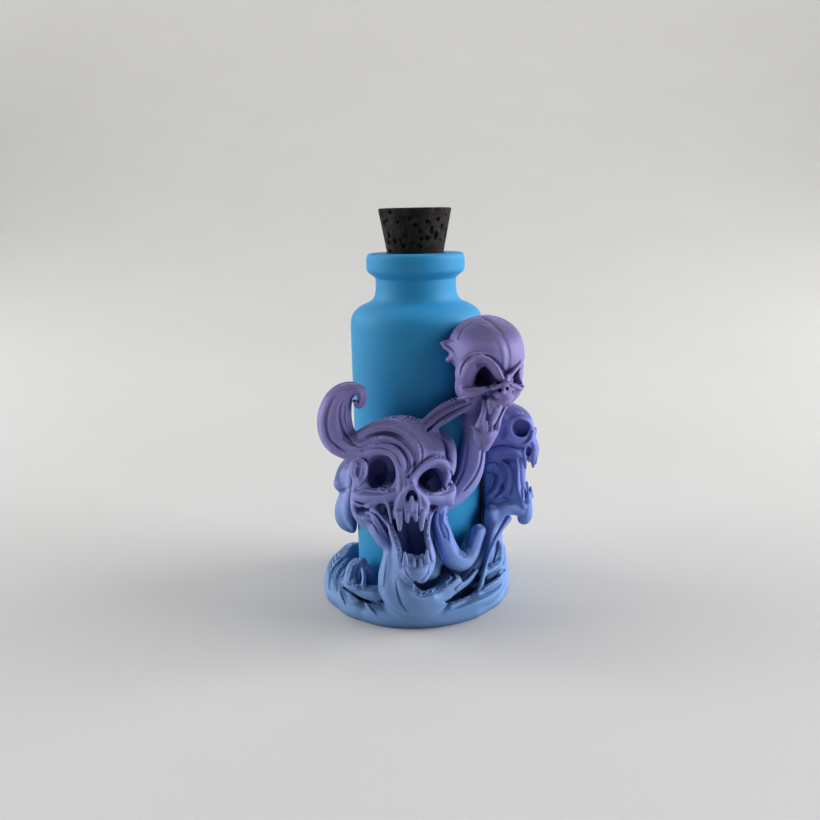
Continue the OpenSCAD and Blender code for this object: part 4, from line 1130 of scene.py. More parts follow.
relief([(477, 570, 2.2, 0.4), (467, 580, 2.6, 0.7), (457, 589, 2.4, 0.6)], -38, 4)
relief([(498, 541, 1.2, -0.3), (495.5, 552, 2.0, -0.8), (492, 562, 1.8, -0.6)], -34, 4)
relief([(446, 571, 1.6, -0.5), (454, 577, 2.2, -1.0), (448, 583, 1.8, -0.8)], -34, 4)

# ---------------------------------------------------------------------------
# A whole skull in its own frame, for the one at the back
# ---------------------------------------------------------------------------
def whole_skull(node, fr, tall=0.0):
    node.add(Ell((0, 1.8, 1.0 + tall), (11.4, 11.4, 10.0)), 2, fr)
    node.add(Ell((0, -3.0, -0.8), (10.2, 8.2, 8.4)), 3, fr)
    node.add(Cone((0, -10.9, -3.6), (0, -13.0, -7.0), 1.5, 1.2), 0.9, fr)
    node.add(Ell((0, -7.6, -9.8), (5.4, 5.2, 4.8)), 1.6, fr)
    node.add(Ell((0, -9.2, -12.4), (4.6, 3.6, 2.6)), 1.0, fr)
    node.add(Sweep([(0, -12.0, -2.4), (0, -11.2, 2.4), (0, -8.6, 7.2), (0, -3.6, 10.4)], [0.9, 1.1, 1.0, 0.6], [0.8, 0.9, 0.8, 0.4],
                   up=(0, -1, 0.5)), 1.6, fr)
    for s in (1, -1):
        m3 = np.array([s, 1, 1])
        # brow, which hangs over the socket
        keep(Sweep(np.array([(0.9, -12.2, -5.0), (2.8, -12.2, -3.0), (6.0, -11.2, -0.8), (9.2, -8.6, -0.4), (10.9, -5.4, -2.4),
                             (11.0, -4.2, -5.6)]) * m3, [1.1, 1.5, 1.7, 1.7, 1.4, 1.1], [1.0, 1.5, 1.8, 1.8, 1.5, 1.2]), 0.7, fr)
        # cheekbone
        node.add(Sweep(np.array([(11.0, -3.8, -5.0), (10.9, -4.2, -8.4), (9.2, -6.6, -10.0), (6.6, -9.0, -9.6), (4.4, -10.2, -8.6)]) * m3,
                       [1.2, 1.8, 1.9, 1.6, 1.3], [1.3, 1.8, 1.9, 1.7, 1.4]), 0.9, fr)
        node.add(Sweep(np.array([(10.9, -4.0, -8.4), (11.2, 0.2, -7.8), (10.4, 4.0, -6.0)]) * m3, [1.5, 1.3, 0.9], [1.2, 1.1, 0.8]), 1.0, fr)
        node.add(Cone(np.array((9.8, -5.2, -10.2)) * m3, np.array((9.4, -5.4, -12.8)) * m3, 1.6, 0.9), 0.8, fr)
        # temple folds
        for a in (0.0, 2.6):
            node.add(Sweep(np.array([(10.2, -4.6 + a, 1.6), (11.4, -1.0 + a, 3.2 - a / 2), (11.1, 3.4 + a, 1.4 - a / 2), (10.4, 7.0, -2.2)]) * m3,
                           [0.8, 0.9, 0.9, 0.6], [0.7, 0.8, 0.8, 0.5]), 1.0, fr)
        # teeth
        for x, z, r in ((3.4, -18.2, 1.2), (1.2, -15.8, 0.9), (5.0, -15.0, 0.85)):
            node.add(Cone(np.array((x, -11.0 + x * 0.25, -12.4)) * m3, np.array((x * 1.03, -11.8 + x * 0.2, z)) * m3, r, 0.35), 0.3, fr)
        late_cut(Ell(np.array((5.9, -10.2, -4.9)) * m3, (3.6, 4.6, 3.3), (0, 20 * s, -14 * s)), 0.5, fr)
        late_cut(Ell(np.array((6.0, -7.0, -5.0)) * m3, (2.8, 5.0, 2.6), (0, 10 * s, -8 * s)), 0.6, fr)
        late_cut(Ell(np.array((1.05, -13.0, -8.2)) * m3, (0.75, 2.0, 1.3), (0, -18 * s, 0)), 0.25, fr)
        late_cut(Ell(np.array((7.4, -6.4, -12.4)) * m3, (1.5, 3.0, 1.6)), 0.6, fr)
    node.cut(Ell((0, -1.6, -14.2), (5.4, 7.4, 3.2)), 1.0, fr)


def whole_jaw(node, fr, d=1.0):
    b = -9.0 - 18.4 * d
    for s in (1, -1):
        m3 = np.array([s, 1, 1])
        node.add(Sweep(np.array([(9.4, -2.4, -9.4), (8.4, -3.6, -12.5), (7.4, -5.0, -9 - 8 * d), (6.7, -7.0, -9 - 14 * d), (5.4, -8.8, b),
                                 (2.6, -10.2, b - 4.2)]) * m3, [1.8, 1.4, 1.3, 1.4, 1.6, 1.8], [1.8, 2.2, 2.6, 2.8, 2.4, 2.0],
                       up=(0, -1, 0.2)), 0.9, fr)
        node.add(Cone(np.array((2.9, -10.6, b - 1.2)) * m3, np.array((3.2, -11.8, b + 3.4)) * m3, 1.1, 0.35), 0.3, fr)
        node.add(Cone(np.array((1.0, -11.0, b - 1.6)) * m3, np.array((1.1, -11.8, b + 1.2)) * m3, 0.85, 0.3), 0.3, fr)
        node.add(Cone(np.array((5.0, -9.4, b - 0.4)) * m3, np.array((5.4, -10.0, b + 2.0)) * m3, 0.9, 0.35), 0.3, fr)
    node.add(Ell((0, -9.8, b - 3.6), (4.6, 2.4, 3.6)), 1.2, fr)


# ---------------------------------------------------------------------------
# Left skull with its neck and the lobed lock, and the waves at the left
# ---------------------------------------------------------------------------
fl = Frame((-13.2, 20.2, 44.0), az=208, nod=-2, roll=0, s=0.74)
n = Node("left_skull", 1.0)
whole_skull(n, fl)
n = Node("left_jaw", 0.8, [((-18, 24, 32), 5, 1.4)])
whole_jaw(n, fl, 1.0)
n = Node("left_neck", 1.0, [((-13, 22, 20), 6, 1.6), ((-12, 21, 36), 6, 1.8)])
wrap(n, [[-160, 3, 25.2, 5.0, 4.2], [-156, 12, 25.0, 4.6, 3.8], [-152, 22, 24.6, 5.0, 3.4], [-150, 31, 24.2, 5.6, 3.2],
         [-150, 39, 23.8, 5.6, 3.0]], 1.2, flutes=(5, 0.15, 0.6))
wrap(n, [[-150, 31, 24.6, 3.8, 3.0], [-138, 34, 24.8, 4.0, 3.2], [-122, 37, 24.8, 3.8, 3.2], [-108, 36.4, 24.8, 3.4, 3.2], [-99, 33.6, 25.0, 3.0, 3.2]], 1.2)
strand(n, [(357, 465.5, 0, 6.0, 3.0), (350.6, 472, 0, 8.6, 3.6), (349.8, 481, 0, 9.0, 3.8), (350.2, 490, 0, 8.8, 4.0), (347.8, 500, 0, 10.6, 4.4),
           (346.4, 510, 0, 12.0, 4.6), (347.0, 519, 0, 10.8, 4.4), (350.5, 526, 0, 6.4, 3.2), (352.5, 529, 0, 2.6, 1.6)], 1.2)
strand(n, [(354, 463, -3.0, 3, 2.0), (352.6, 471, -5.6, 5, 3.0), (351.6, 481, -6.8, 5.6, 3.6), (351, 491, -7.0, 5.6, 3.8), (349.4, 501, -7.2, 6.6, 4.2),
           (348.8, 511, -7.0, 6.8, 4.4), (350.6, 519, -5.6, 5, 3.6), (352.5, 525, -3.0, 3, 2.4)], 3.2)
relief([(353, 487, 1.6, -0.3), (346, 489.5, 2.4, -0.4), (341, 491, 2.0, -0.3)], -16, 14)

n = Node("left_wave", 1.0, [((-24, 0, 6), 7, 1.6)])
wrap(n, [[-128, 4.0, 24.8, 3.0, 3.0], [-114, 5.4, 25.6, 3.4, 3.6], [-101, 5.4, 26.8, 3.2, 3.8], [-89, 5.0, 27.3, 3.2, 3.8], [-77, 4.8, 27.4, 3.2, 3.8],
         [-65, 4.2, 27.4, 3.0, 3.6], [-52, 3.6, 27.4, 2.8, 3.2], [-40, 3.2, 27.4, 2.4, 2.8]], 1.0, m=6, flutes=(4, 0.15, 0.5))
relief([(330, 588, 2.0, -0.2), (332.5, 574, 2.6, -0.5), (340, 563, 2.6, -0.5), (351, 554.5, 2.2, -0.2)], -34, 20)
relief([(338, 590, 1.8, -0.2), (338.5, 577, 2.4, -0.5), (345, 566.5, 2.2, -0.3)], -34, 20)
relief([(339.4, 590, 1.6, 0.3), (341, 597, 1.8, 0.6), (344.5, 604, 1.4, 0.3)], -34, 4)
relief([(365.5, 602, 1.6, 0.3), (369.5, 608.5, 1.8, 0.6), (375.5, 614.5, 1.4, 0.3)], -40, 4)
wrap(n, [[-96, 5, 25.0, 3.4, 2.4], [-108, 7, 25.0, 3.4, 2.8], [-120, 5.6, 25.0, 3.2, 2.8]], 1.2, flutes=(5, 0.2, 0.6))

n = Node("left_rock", 0.8, [((-14, -24, 5), 5, 1.3)])
strand(n, [(361, 563.0, 26.8, 5.0, 3.0), (357.5, 567, 28.0, 8.4, 4.2), (355.4, 574, 29.2, 10.4, 5.2), (354.4, 582, 30.4, 11.0, 5.8),
           (357.0, 590, 31.0, 10.4, 5.0)], 0.9, flutes=(5, 0.25, 0.6))
strand(n, [(352, 566, 28.8, 2.6, 1.4), (348.5, 573, 30.0, 2.8, 1.6), (346.5, 581, 31.0, 2.8, 1.6)], 0.5)
strand(n, [(362.8, 569, 28.8, 2.2, 1.3), (364.2, 576, 29.6, 2.4, 1.5), (363.6, 584, 30.6, 2.4, 1.4)], 0.5)
strand(n, [(345.5, 583.0, 30.2, 3.0, 1.8), (351.5, 586.8, 31.2, 3.2, 2.0), (359, 588.0, 31.4, 3.4, 1.8)], 0.5)
strand(n, [(356, 591, 30.2, 5.0, 2.6), (366, 592, 30.6, 7.0, 3.2), (376, 593, 30.4, 8.0, 3.2)], 1.2)
wrap(n, [[-44, 4, 24.6, 3.0, 1.8], [-42, 9, 24.4, 3.0, 1.6], [-44, 14, 24.2, 2.4, 1.4]], 0.8)
relief([(353, 566.5, 1.2, 0.4), (350.5, 574, 1.6, 0.7), (348.5, 581, 1.4, 0.4)], -34, 4)
relief([(358.5, 566.5, 1.2, -0.4), (357.0, 575, 1.8, -0.8), (358.5, 583, 1.6, -0.6)], -34, 4)
relief([(363.4, 570, 1.2, 0.4), (363.6, 578, 1.4, 0.6), (362.4, 585, 1.4, 0.4)], -34, 4)
hollow(372.6, 573.5, 27.2, 6.2, 9.0, 5.2, 0.5, roll=-8)
hollow(343.0, 572, 29.6, 2.8, 6.6, 3.0, 0.6, roll=12)

# tail that climbs round the back
n = Node("rear_tail", 1.0, [((0, 25, 6), 6, 1.6), ((18, -18, 68), 6, 1.6)])
wrap(n, [[196, 2, 25.4, 4.6, 4.0], [180, 10, 25.0, 4.6, 3.8], [162, 21, 24.4, 4.8, 3.4], [140, 34, 24.2, 4.8, 3.2], [118, 45, 24.0, 4.8, 3.0],
         [98, 54, 24.0, 4.8, 3.0], [79, 60.5, 24.0, 4.4, 2.8], [64, 66.5, 24.0, 4.2, 2.8], [53, 73, 24.2, 4.2, 2.8]], 1.2, m=6,
     flutes=(6, 0.3, 1.2))
wrap(n, [[176, 15, 26.4, 1.2, 1.4], [158, 27, 25.8, 1.4, 1.5], [136, 41, 25.4, 1.4, 1.5], [112, 53, 25.0, 1.2, 1.3], [96, 59, 24.6, 0.9, 1.0]], 0.8)
# a short lock that curls away from it
wrap(n, [[150, 27, 24.8, 2.6, 2.4], [158, 33, 25.0, 2.4, 2.4], [168, 37.5, 25.4, 2.0, 2.2], [177, 37.5, 26.0, 1.6, 1.8], [180, 33.6, 26.4, 1.2, 1.4],
         [176, 31.4, 26.6, 0.8, 1.0]], 1.0)
# crevices at the left front
relief([(344, 588, 1.4, -0.8), (351.7, 592.6, 1.9, -1.3), (357.5, 596.6, 1.9, -1.3), (363.5, 600, 1.7, -1.1), (371, 602.6, 1.4, -0.8), (381, 604.8, 1.2, -0.4)],
       -40, 4)

# ---------------------------------------------------------------------------
# Plinth: a disc with a rounded, slightly lumpy rim and folds round the back
# ---------------------------------------------------------------------------
n = Node("plinth", 1.4)
n.add(Disc((-1.6, 0, 0), 29.5, -4.0, 4.9, 2.6), 1)
for a in np.arange(-170, 190, 15):
    r = 26.0 + rng.uniform(-0.6, 0.6)
    c = around(a + rng.uniform(-4, 4), 2.0 + rng.uniform(-0.6, 0.8), r) + np.array([-1.6, 0, 0])
    n.add(Ell(c, (rng.uniform(3.2, 4.2), rng.uniform(5, 8), rng.uniform(2.2, 3.0)), (0, 0, a + 90)), 2.0)
wrap(n, [[-134, 3, 26, 3.0, 2.8], [-150, 5.5, 26, 3.4, 3.2], [-166, 7, 25.8, 3.2, 3.2], [176, 5, 25.8, 3.0, 2.8]][:3] + [[-182, 4.6, 25.8, 2.6, 2.6]], 1.6,
     flutes=(5, 0.2, 0.5))
wrap(n, [[120, 3.4, 26, 3.0, 2.8], [134, 6.5, 25.8, 3.4, 3.2], [150, 7.5, 25.6, 3.2, 3.2], [166, 4.4, 25.6, 2.6, 2.6]], 1.6, flutes=(5, 0.2, 0.5))
wrap(n, [[-30, 3.0, 27.6, 3.0, 2.4], [-10, 3.4, 28.2, 3.0, 2.4], [12, 3.4, 28.2, 3.0, 2.4], [34, 3.2, 27.6, 3.0, 2.4]], 2.0)
# ---------------------------------------------------------------------------
# Meshes of the surround
# ---------------------------------------------------------------------------
grid = sculpt(VOX)
surround = {}
for name, (v, q) in carve(grid).items():
    if len(q) == 0:
        continue
    ob = make_mesh(name + "_sculpt", v, q)
    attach(ob, "surround")
    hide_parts(name)
    surround[name] = ob
del grid


# ---------------------------------------------------------------------------
# Bottle
# ---------------------------------------------------------------------------
def lathe(name, rows, seg, bump=None):
    """A closed lathe of (radius, height) rows; the first and last lie on the axis."""
    rows = np.array(rows, float)
    n = len(rows)
    a = np.arange(seg) / seg * 2 * np.pi
    v = np.stack([np.outer(rows[1:-1, 0], np.cos(a)), np.outer(rows[1:-1, 0], np.sin(a)),
                  np.repeat(rows[1:-1, 1][:, None], seg, 1)], -1)
    if bump is not None:
        v = bump(v, a)
    m = n - 2
    v = np.concatenate([v.reshape(-1, 3), [[0, 0, rows[0, 1]], [0, 0, rows[-1, 1]]]])
    i, j = np.meshgrid(np.arange(m - 1), np.arange(seg), indexing="ij")
    k = (j + 1) % seg
    quads = np.stack([i * seg + j, i * seg + k, (i + 1) * seg + k, (i + 1) * seg + j], -1).reshape(-1, 4)
    lo, hi = m * seg, m * seg + 1
    me = bpy.data.meshes.new(name)
    jj = np.arange(seg)
    kk = (jj + 1) % seg
    tris = [[lo, b, a_] for a_, b in zip(jj, kk)] + [[hi, (m - 1) * seg + a_, (m - 1) * seg + b] for a_, b in zip(jj, kk)]
    me.from_pydata((v / 1000).tolist(), [], quads.tolist() + tris)
    for p in me.polygons:
        p.use_smooth = True
    me.update()
    ob = bpy.data.objects.new(name, me)
    bpy.context.scene.collection.objects.link(ob)
    return ob


def densify(rows, step):
    out = [rows[0]]
    for a, b in zip(rows[:-1], rows[1:]):
        a, b = np.array(a, float), np.array(b, float)
        k = max(1, int(math.ceil(np.linalg.norm(b - a) / step)))
        out += [tuple(a + (b - a) * (i + 1) / k) for i in range(k)]
    return out


outer = spline([(19.4, 2.5, 0), (19.9, 2.9, 0), (20.0, 3.6, 0), (20.0, 20, 0), (20.0, 50, 0), (20.0, 80, 0), (20.0, 85.2, 0), (19.93, 86.8, 0),
                (19.62, 88.4, 0), (18.9, 89.8, 0), (17.6, 91.0, 0), (15.9, 91.95, 0), (14.3, 92.65, 0), (13.1, 93.55, 0), (12.4, 95.0, 0),
                (12.12, 97.0, 0), (12.08, 99.6, 0)], 6)[:, :2]
lip = spline([(12.1, 99.75, 0), (12.5, 100.2, 0), (13.4, 100.9, 0), (14.3, 101.7, 0), (14.64, 102.5, 0), (14.7, 104.4, 0), (14.62, 105.9, 0),
              (14.2, 106.8, 0), (13.4, 107.1, 0)], 5)[:, :2]
inner = spline([(9.5, 107.1, 0), (8.9, 106.95, 0), (8.62, 106.4, 0), (8.6, 104, 0), (8.6, 95, 0), (8.6, 90.6, 0), (9.6, 88.6, 0), (13.6, 87.4, 0),
                (16.4, 85.6, 0), (17.2, 82, 0), (17.2, 60, 0), (17.2, 20, 0), (17.2, 8, 0), (16.6, 6.2, 0), (15.0, 5.4, 0)], 4)[:, :2]
bottle_rows = [(0, 2.4), (17.0, 2.4), (18.9, 2.42)] + [tuple(p) for p in outer] + [tuple(p) for p in lip] + [tuple(p) for p in inner] + [(8.0, 5.4), (0, 5.4)]
bottle = lathe("bottle_body", bottle_rows, 256)
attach(bottle, "bottle")
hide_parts("bottle")


# ---------------------------------------------------------------------------
# Cork: tapered, with pits and a chipped top edge
# ---------------------------------------------------------------------------
def cork_bump(v, a):
    c = np.random.RandomState(21)
    pts = v.reshape(-1, 3)
    r = np.hypot(pts[:, 0], pts[:, 1])
    out = np.stack([pts[:, 0] / np.maximum(r, 1e-6), pts[:, 1] / np.maximum(r, 1e-6), np.zeros(len(pts))], 1)
    top = np.clip((pts[:, 2] - 119.2) / 0.8, 0, 1)
    top = np.where(r < 10.2, top, top * 0.5)
    nrm = out * (1 - top)[:, None] + np.array([0, 0, 1.0]) * top[:, None]
    d = np.zeros(len(pts))
    # pits that the camera sees: (u, v, half-width, half-height) in pixels
    seen = [(390, 212, 1.6, 1.8), (389, 235, 1.8, 2.4), (406, 235, 2.8, 3.0), (415, 225, 2.0, 1.8), (427, 221.5, 2.2, 1.6), (438, 219, 1.8, 1.6),
            (442, 226, 1.6, 2.0), (436, 235, 1.8, 3.6), (427, 238, 1.8, 1.8), (445, 235, 1.2, 2.2), (404, 245.5, 2.2, 1.6), (398, 222, 1.2, 1.2),
            (412, 243, 1.4, 1.0), (421, 247, 1.2, 1.0), (384, 222, 1.0, 1.4), (432, 227.5, 1.0, 1.2), (420, 231.5, 1.1, 1.2)]
    pits = []
    for u, vv, w, h in seen:
        p = pr(u, vv, 9.8)
        for _ in range(3):
            rr = 8.4 + 2.4 * np.clip((p[2] - 107.3) / 12.7, 0, 1)
            p = pr(u, vv, rr)
        pits.append((p, w * 0.3, h * 0.3, 0.9))
    for _ in range(70):
        z = c.uniform(107.5, 119.6)
        t = c.uniform(0, 2 * np.pi)
        rr = 8.4 + 2.4 * (z - 107.3) / 12.7
        p = np.array([rr * np.cos(t), rr * np.sin(t), z])
        if p[1] < -5 and c.uniform() < 0.75:
            continue
        pits.append((p, c.uniform(0.25, 0.7), c.uniform(0.25, 0.9), c.uniform(0.4, 0.9)))
    for _ in range(40):
        t, q = c.uniform(0, 2 * np.pi), 10.6 * math.sqrt(c.uniform(0, 1))
        pits.append((np.array([q * np.cos(t), q * np.sin(t), 120.0]), c.uniform(0.25, 0.75), c.uniform(0.25, 0.75), c.uniform(0.3, 0.8)))
    for p, w, h, deep in pits:
        q = pts - p
        m = (q ** 2).sum(1) < 9
        if not m.any():
            continue
        qm = q[m]
        if p[2] > 119.9:
            e = np.hypot(qm[:, 0] / w, qm[:, 1] / h)
        else:
            e = np.hypot(np.hypot(qm[:, 0], qm[:, 1]) / w, qm[:, 2] / h)
        e = e * (1 + 0.22 * np.sin(3.1 * np.arctan2(qm[:, 2], qm[:, 0]) + 7 * p[0]))
        d[m] = np.maximum(d[m], deep * np.clip(1.35 - e, 0, 1) ** 0.7 * (e < 1.35))
    # grain between the pits
    g = np.zeros(len(pts))
    for _ in range(26):
        k = c.normal(size=3)
        k = k / np.linalg.norm(k) * c.uniform(2.0, 7.0)
        g += np.sin(pts @ k + c.uniform(0, 6.28)) / 26
    d = d + 0.22 * np.abs(g)
    # chips in the top edge
    for _ in range(16):
        t = c.uniform(0, 2 * np.pi)
        e = np.hypot(pts[:, 0] - 10.8 * np.cos(t), pts[:, 1] - 10.8 * np.sin(t))
        m = (e < 0.9) & (pts[:, 2] > 119.0)
        d[m] = np.maximum(d[m], 0.45 * (1 - e[m] / 0.9))
    inside = np.clip((pts[:, 2] - 106.6) / 0.8, 0, 1)
    pts = pts - nrm * (d * inside)[:, None]
    return pts.reshape(v.shape)


ck = 0.16
cork_rows = ([(0, 96.0), (5.6, 96.0), (6.15, 96.4), (8.28, 106.4)] + densify([(8.28, 106.4), (10.75, 119.5)], ck)[1:]
             + [(10.72, 119.75), (10.55, 119.93), (10.3, 120.0)] + densify([(10.3, 120.0), (0.2, 120.0)], ck)[1:] + [(0, 120.0)])
cork = lathe("cork_plug", cork_rows, 380, cork_bump)
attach(cork, "cork")
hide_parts("cork_stopper")


# ---------------------------------------------------------------------------
# Materials
# ---------------------------------------------------------------------------
def new_material(name):
    m = bpy.data.materials.new(name)
    m.use_nodes = True
    nt = m.node_tree
    nt.nodes.clear()
    out = nt.nodes.new("ShaderNodeOutputMaterial")
    b = nt.nodes.new("ShaderNodeBsdfPrincipled")
    nt.links.new(b.outputs[0], out.inputs[0])
    return m, nt, b


def N(nt, kind, **kw):
    n = nt.nodes.new(kind)
    for k, v in kw.items():
        if k in n.inputs.keys():
            n.inputs[k].default_value = v
        else:
            setattr(n, k, v)
    return n


def ramp(nt, fac, stops):
    r = nt.nodes.new("ShaderNodeValToRGB")
    e = r.color_ramp.elements
    while len(e) < len(stops):
        e.new(0.5)
    for i, (p, c) in enumerate(stops):
        e[i].position = p
        e[i].color = (*c, 1)
    nt.links.new(fac, r.inputs[0])
    return r.outputs[0]


def math_node(nt, op, a, b=None, c=None, clamp=False):
    n = nt.nodes.new("ShaderNodeMath")
    n.operation = op
    n.use_clamp = clamp
    for i, s in enumerate((a, b, c)):
        if s is None:
            continue
        if isinstance(s, (int, float)):
            n.inputs[i].default_value = s
        else:
            nt.links.new(s, n.inputs[i])
    return n.outputs[0]


def mix(nt, fac, a, b, kind="MIX"):
    n = nt.nodes.new("ShaderNodeMix")
    n.data_type = "RGBA"
    n.blend_type = kind
    for i, s in ((0, fac), (6, a), (7, b)):
        if isinstance(s, (int, float)):
            n.inputs[i].default_value = s
        elif isinstance(s, tuple):
            n.inputs[i].default_value = (*s, 1)
        else:
            nt.links.new(s, n.inputs[i])
    return n.outputs[2]


def layered_height(nt, z, pitch, noise):
    """Height of fine horizontal layers, a little uneven."""
    f = math_node(nt, "MULTIPLY", z, 2 * math.pi / pitch)
    w = math_node(nt, "MULTIPLY_ADD", noise, 1.2, f)
    s = math_node(nt, "SINE", w)
    return math_node(nt, "MULTIPLY_ADD", s, 0.5, 0.5)


def printed(name, colour_stops, layer_pitch, layer_depth, rough, shine=0.4, crevice_shade=0.0):
    m, nt, b = new_material(name)
    tc = N(nt, "ShaderNodeTexCoord")
    sep = N(nt, "ShaderNodeSeparateXYZ")
    nt.links.new(tc.outputs["Object"], sep.inputs[0])
    big = N(nt, "ShaderNodeTexNoise", Scale=55.0, Detail=3.0, Roughness=0.6)
    nt.links.new(tc.outputs["Object"], big.inputs["Vector"])
    fine = N(nt, "ShaderNodeTexNoise", Scale=900.0, Detail=3.0, Roughness=0.6)
    nt.links.new(tc.outputs["Object"], fine.inputs["Vector"])
    h = math_node(nt, "MULTIPLY", sep.outputs[2], 1 / 0.12)
    h = math_node(nt, "MULTIPLY_ADD", big.outputs["Fac"], 0.07, h)
    h = math_node(nt, "SUBTRACT", h, 0.035)
    col = ramp(nt, h, colour_stops)
    # faint bands where the filament changes tone, and fine speckle
    band = N(nt, "ShaderNodeTexNoise", noise_dimensions="1D", Scale=420.0, Detail=2.0)
    nt.links.new(sep.outputs[2], band.inputs["W"])
    col = mix(nt, 0.10, col, ramp(nt, band.outputs["Fac"], [(0.3, (0.75, 0.75, 0.75)), (0.7, (1.0, 1.0, 1.0))]), "MULTIPLY")
    col = mix(nt, 0.10, col, ramp(nt, fine.outputs["Fac"], [(0.35, (0.7, 0.7, 0.7)), (0.6, (1.0, 1.0, 1.0))]), "MULTIPLY")
    # painted shade: an ambient occlusion node darkens the colour towards deep blue in creases, sockets and hollows,
    # where shade falls
    if crevice_shade:
        painted_shade_ao = N(nt, "ShaderNodeAmbientOcclusion", Distance=0.006, samples=8)
        col = mix(nt, crevice_shade, col, ramp(nt, painted_shade_ao.outputs["AO"], [(0.05, (0.10, 0.12, 0.26)), (0.35, (0.45, 0.47, 0.60)), (0.72, (1.0, 1.0, 1.0))]), "MULTIPLY")
    nt.links.new(col, b.inputs["Base Color"])
    lay = layered_height(nt, sep.outputs[2], layer_pitch, big.outputs["Fac"])
    geo = N(nt, "ShaderNodeNewGeometry")
    gs = N(nt, "ShaderNodeSeparateXYZ")
    nt.links.new(geo.outputs["Normal"], gs.inputs[0])
    flat = N(nt, "ShaderNodeMapRange", interpolation_type="SMOOTHSTEP")
    nt.links.new(gs.outputs[2], flat.inputs[0])
    for i, x in enumerate((0.25, 0.75, 0.16, 0.85)):
        flat.inputs[i + 1].default_value = x
    bump1 = N(nt, "ShaderNodeBump", Distance=layer_depth)
    nt.links.new(flat.outputs[0], bump1.inputs["Strength"])
    nt.links.new(lay, bump1.inputs["Height"])
    bump2 = N(nt, "ShaderNodeBump", Strength=0.35, Distance=0.00006)
    nt.links.new(fine.outputs["Fac"], bump2.inputs["Height"])
    nt.links.new(bump1.outputs[0], bump2.inputs["Normal"])
    nt.links.new(bump2.outputs[0], b.inputs["Normal"])
    r = math_node(nt, "MULTIPLY_ADD", big.outputs["Fac"], 0.12, rough - 0.06)
    nt.links.new(r, b.inputs["Roughness"])
    b.inputs["Specular IOR Level"].default_value = shine
    return m


SUR = [(0.02, (0.160, 0.320, 0.620)), (0.14, (0.178, 0.310, 0.620)), (0.28, (0.208, 0.262, 0.590)), (0.42, (0.226, 0.222, 0.540)),
       (0.56, (0.234, 0.204, 0.490)), (0.80, (0.238, 0.206, 0.490))]
# the last argument is the strength of the painted crevice shade
mat_surround = printed("surround_print", SUR, 0.00028, 0.00085, 0.55, 0.35, 0.62)
# painted reflection: the right pieces get a bluer copy of the print colour, standing for blue light bounced onto them
# from the bottle
SUR_RIGHT_PAINTED_BOUNCE = [(0.02, (0.160, 0.320, 0.640)), (0.14, (0.165, 0.300, 0.650)), (0.28, (0.170, 0.255, 0.660)), (0.42, (0.175, 0.205, 0.620)),
             (0.56, (0.195, 0.205, 0.590)), (0.80, (0.200, 0.205, 0.580))]
mat_right_painted_bounce = printed("surround_print_right", SUR_RIGHT_PAINTED_BOUNCE, 0.00028, 0.00085, 0.55, 0.35, 0.62)
mat_bottle = printed("bottle_print", [(0.0, (0.024, 0.272, 0.545)), (1.0, (0.024, 0.282, 0.565))], 0.00016, 0.000022, 0.56, 0.25)

mat_cork, nt, b = new_material("dark_cork")
tc = N(nt, "ShaderNodeTexCoord")
vor = N(nt, "ShaderNodeTexVoronoi", Scale=620.0)
nt.links.new(tc.outputs["Object"], vor.inputs["Vector"])
nz = N(nt, "ShaderNodeTexNoise", Scale=380.0, Detail=6.0, Roughness=0.65)
nt.links.new(tc.outputs["Object"], nz.inputs["Vector"])
nz2 = N(nt, "ShaderNodeTexNoise", Scale=2400.0, Detail=3.0, Roughness=0.6)
nt.links.new(tc.outputs["Object"], nz2.inputs["Vector"])
bw = N(nt, "ShaderNodeRGBToBW")
nt.links.new(vor.outputs["Color"], bw.inputs[0])
col = ramp(nt, bw.outputs[0], [(0.1, (0.004, 0.003, 0.0025)), (0.5, (0.008, 0.0056, 0.0045)), (0.9, (0.018, 0.012, 0.009))])
col = mix(nt, 0.6, col, ramp(nt, nz.outputs["Fac"], [(0.38, (0.25, 0.22, 0.20)), (0.52, (1.0, 1.0, 1.0)), (0.75, (1.35, 1.25, 1.15))]), "MULTIPLY")
nt.links.new(col, b.inputs["Base Color"])
bp = N(nt, "ShaderNodeBump", Strength=0.6, Distance=0.00025)
nt.links.new(nz.outputs["Fac"], bp.inputs["Height"])
bp2 = N(nt, "ShaderNodeBump", Strength=0.5, Distance=0.00008)
nt.links.new(nz2.outputs["Fac"], bp2.inputs["Height"])
nt.links.new(bp.outputs[0], bp2.inputs["Normal"])
nt.links.new(bp2.outputs[0], b.inputs["Normal"])
nt.links.new(ramp(nt, nz.outputs["Fac"], [(0.3, (0.95,) * 3), (0.7, (0.72,) * 3)]), b.inputs["Roughness"])
b.inputs["Specular IOR Level"].default_value = 0.3

# the right pieces take the copy with the painted bottle reflection
for name, ob in surround.items():
    ob.data.materials.append(mat_right_painted_bounce if name.startswith("right_") else mat_surround)
bottle.data.materials.append(mat_bottle)
cork.data.materials.append(mat_cork)

# ---------------------------------------------------------------------------
# Floor, lights and camera
# ---------------------------------------------------------------------------
def sweep_floor():
    """Pale floor that rises gently into a backdrop behind the object."""
    prof = [(-3.0, 0.0), (0.45, 0.0)]
    for i in range(1, 41):
        a = math.pi / 2 * i / 40
        prof.append((0.45 + 1.5 * math.sin(a), 1.5 - 1.5 * math.cos(a)))
    prof.append((1.95, 3.4))
    xs = (-3.0, 3.0)
    v = [(x, y, z) for y, z in prof for x in xs]
    f = [(2 * i, 2 * i + 1, 2 * i + 3, 2 * i + 2) for i in range(len(prof) - 1)]
    me = bpy.data.meshes.new("studio_floor")
    me.from_pydata(v, [], f)
    for p in me.polygons:
        p.use_smooth = True
    ob = bpy.data.objects.new("studio_floor", me)
    bpy.context.scene.collection.objects.link(ob)
    return ob


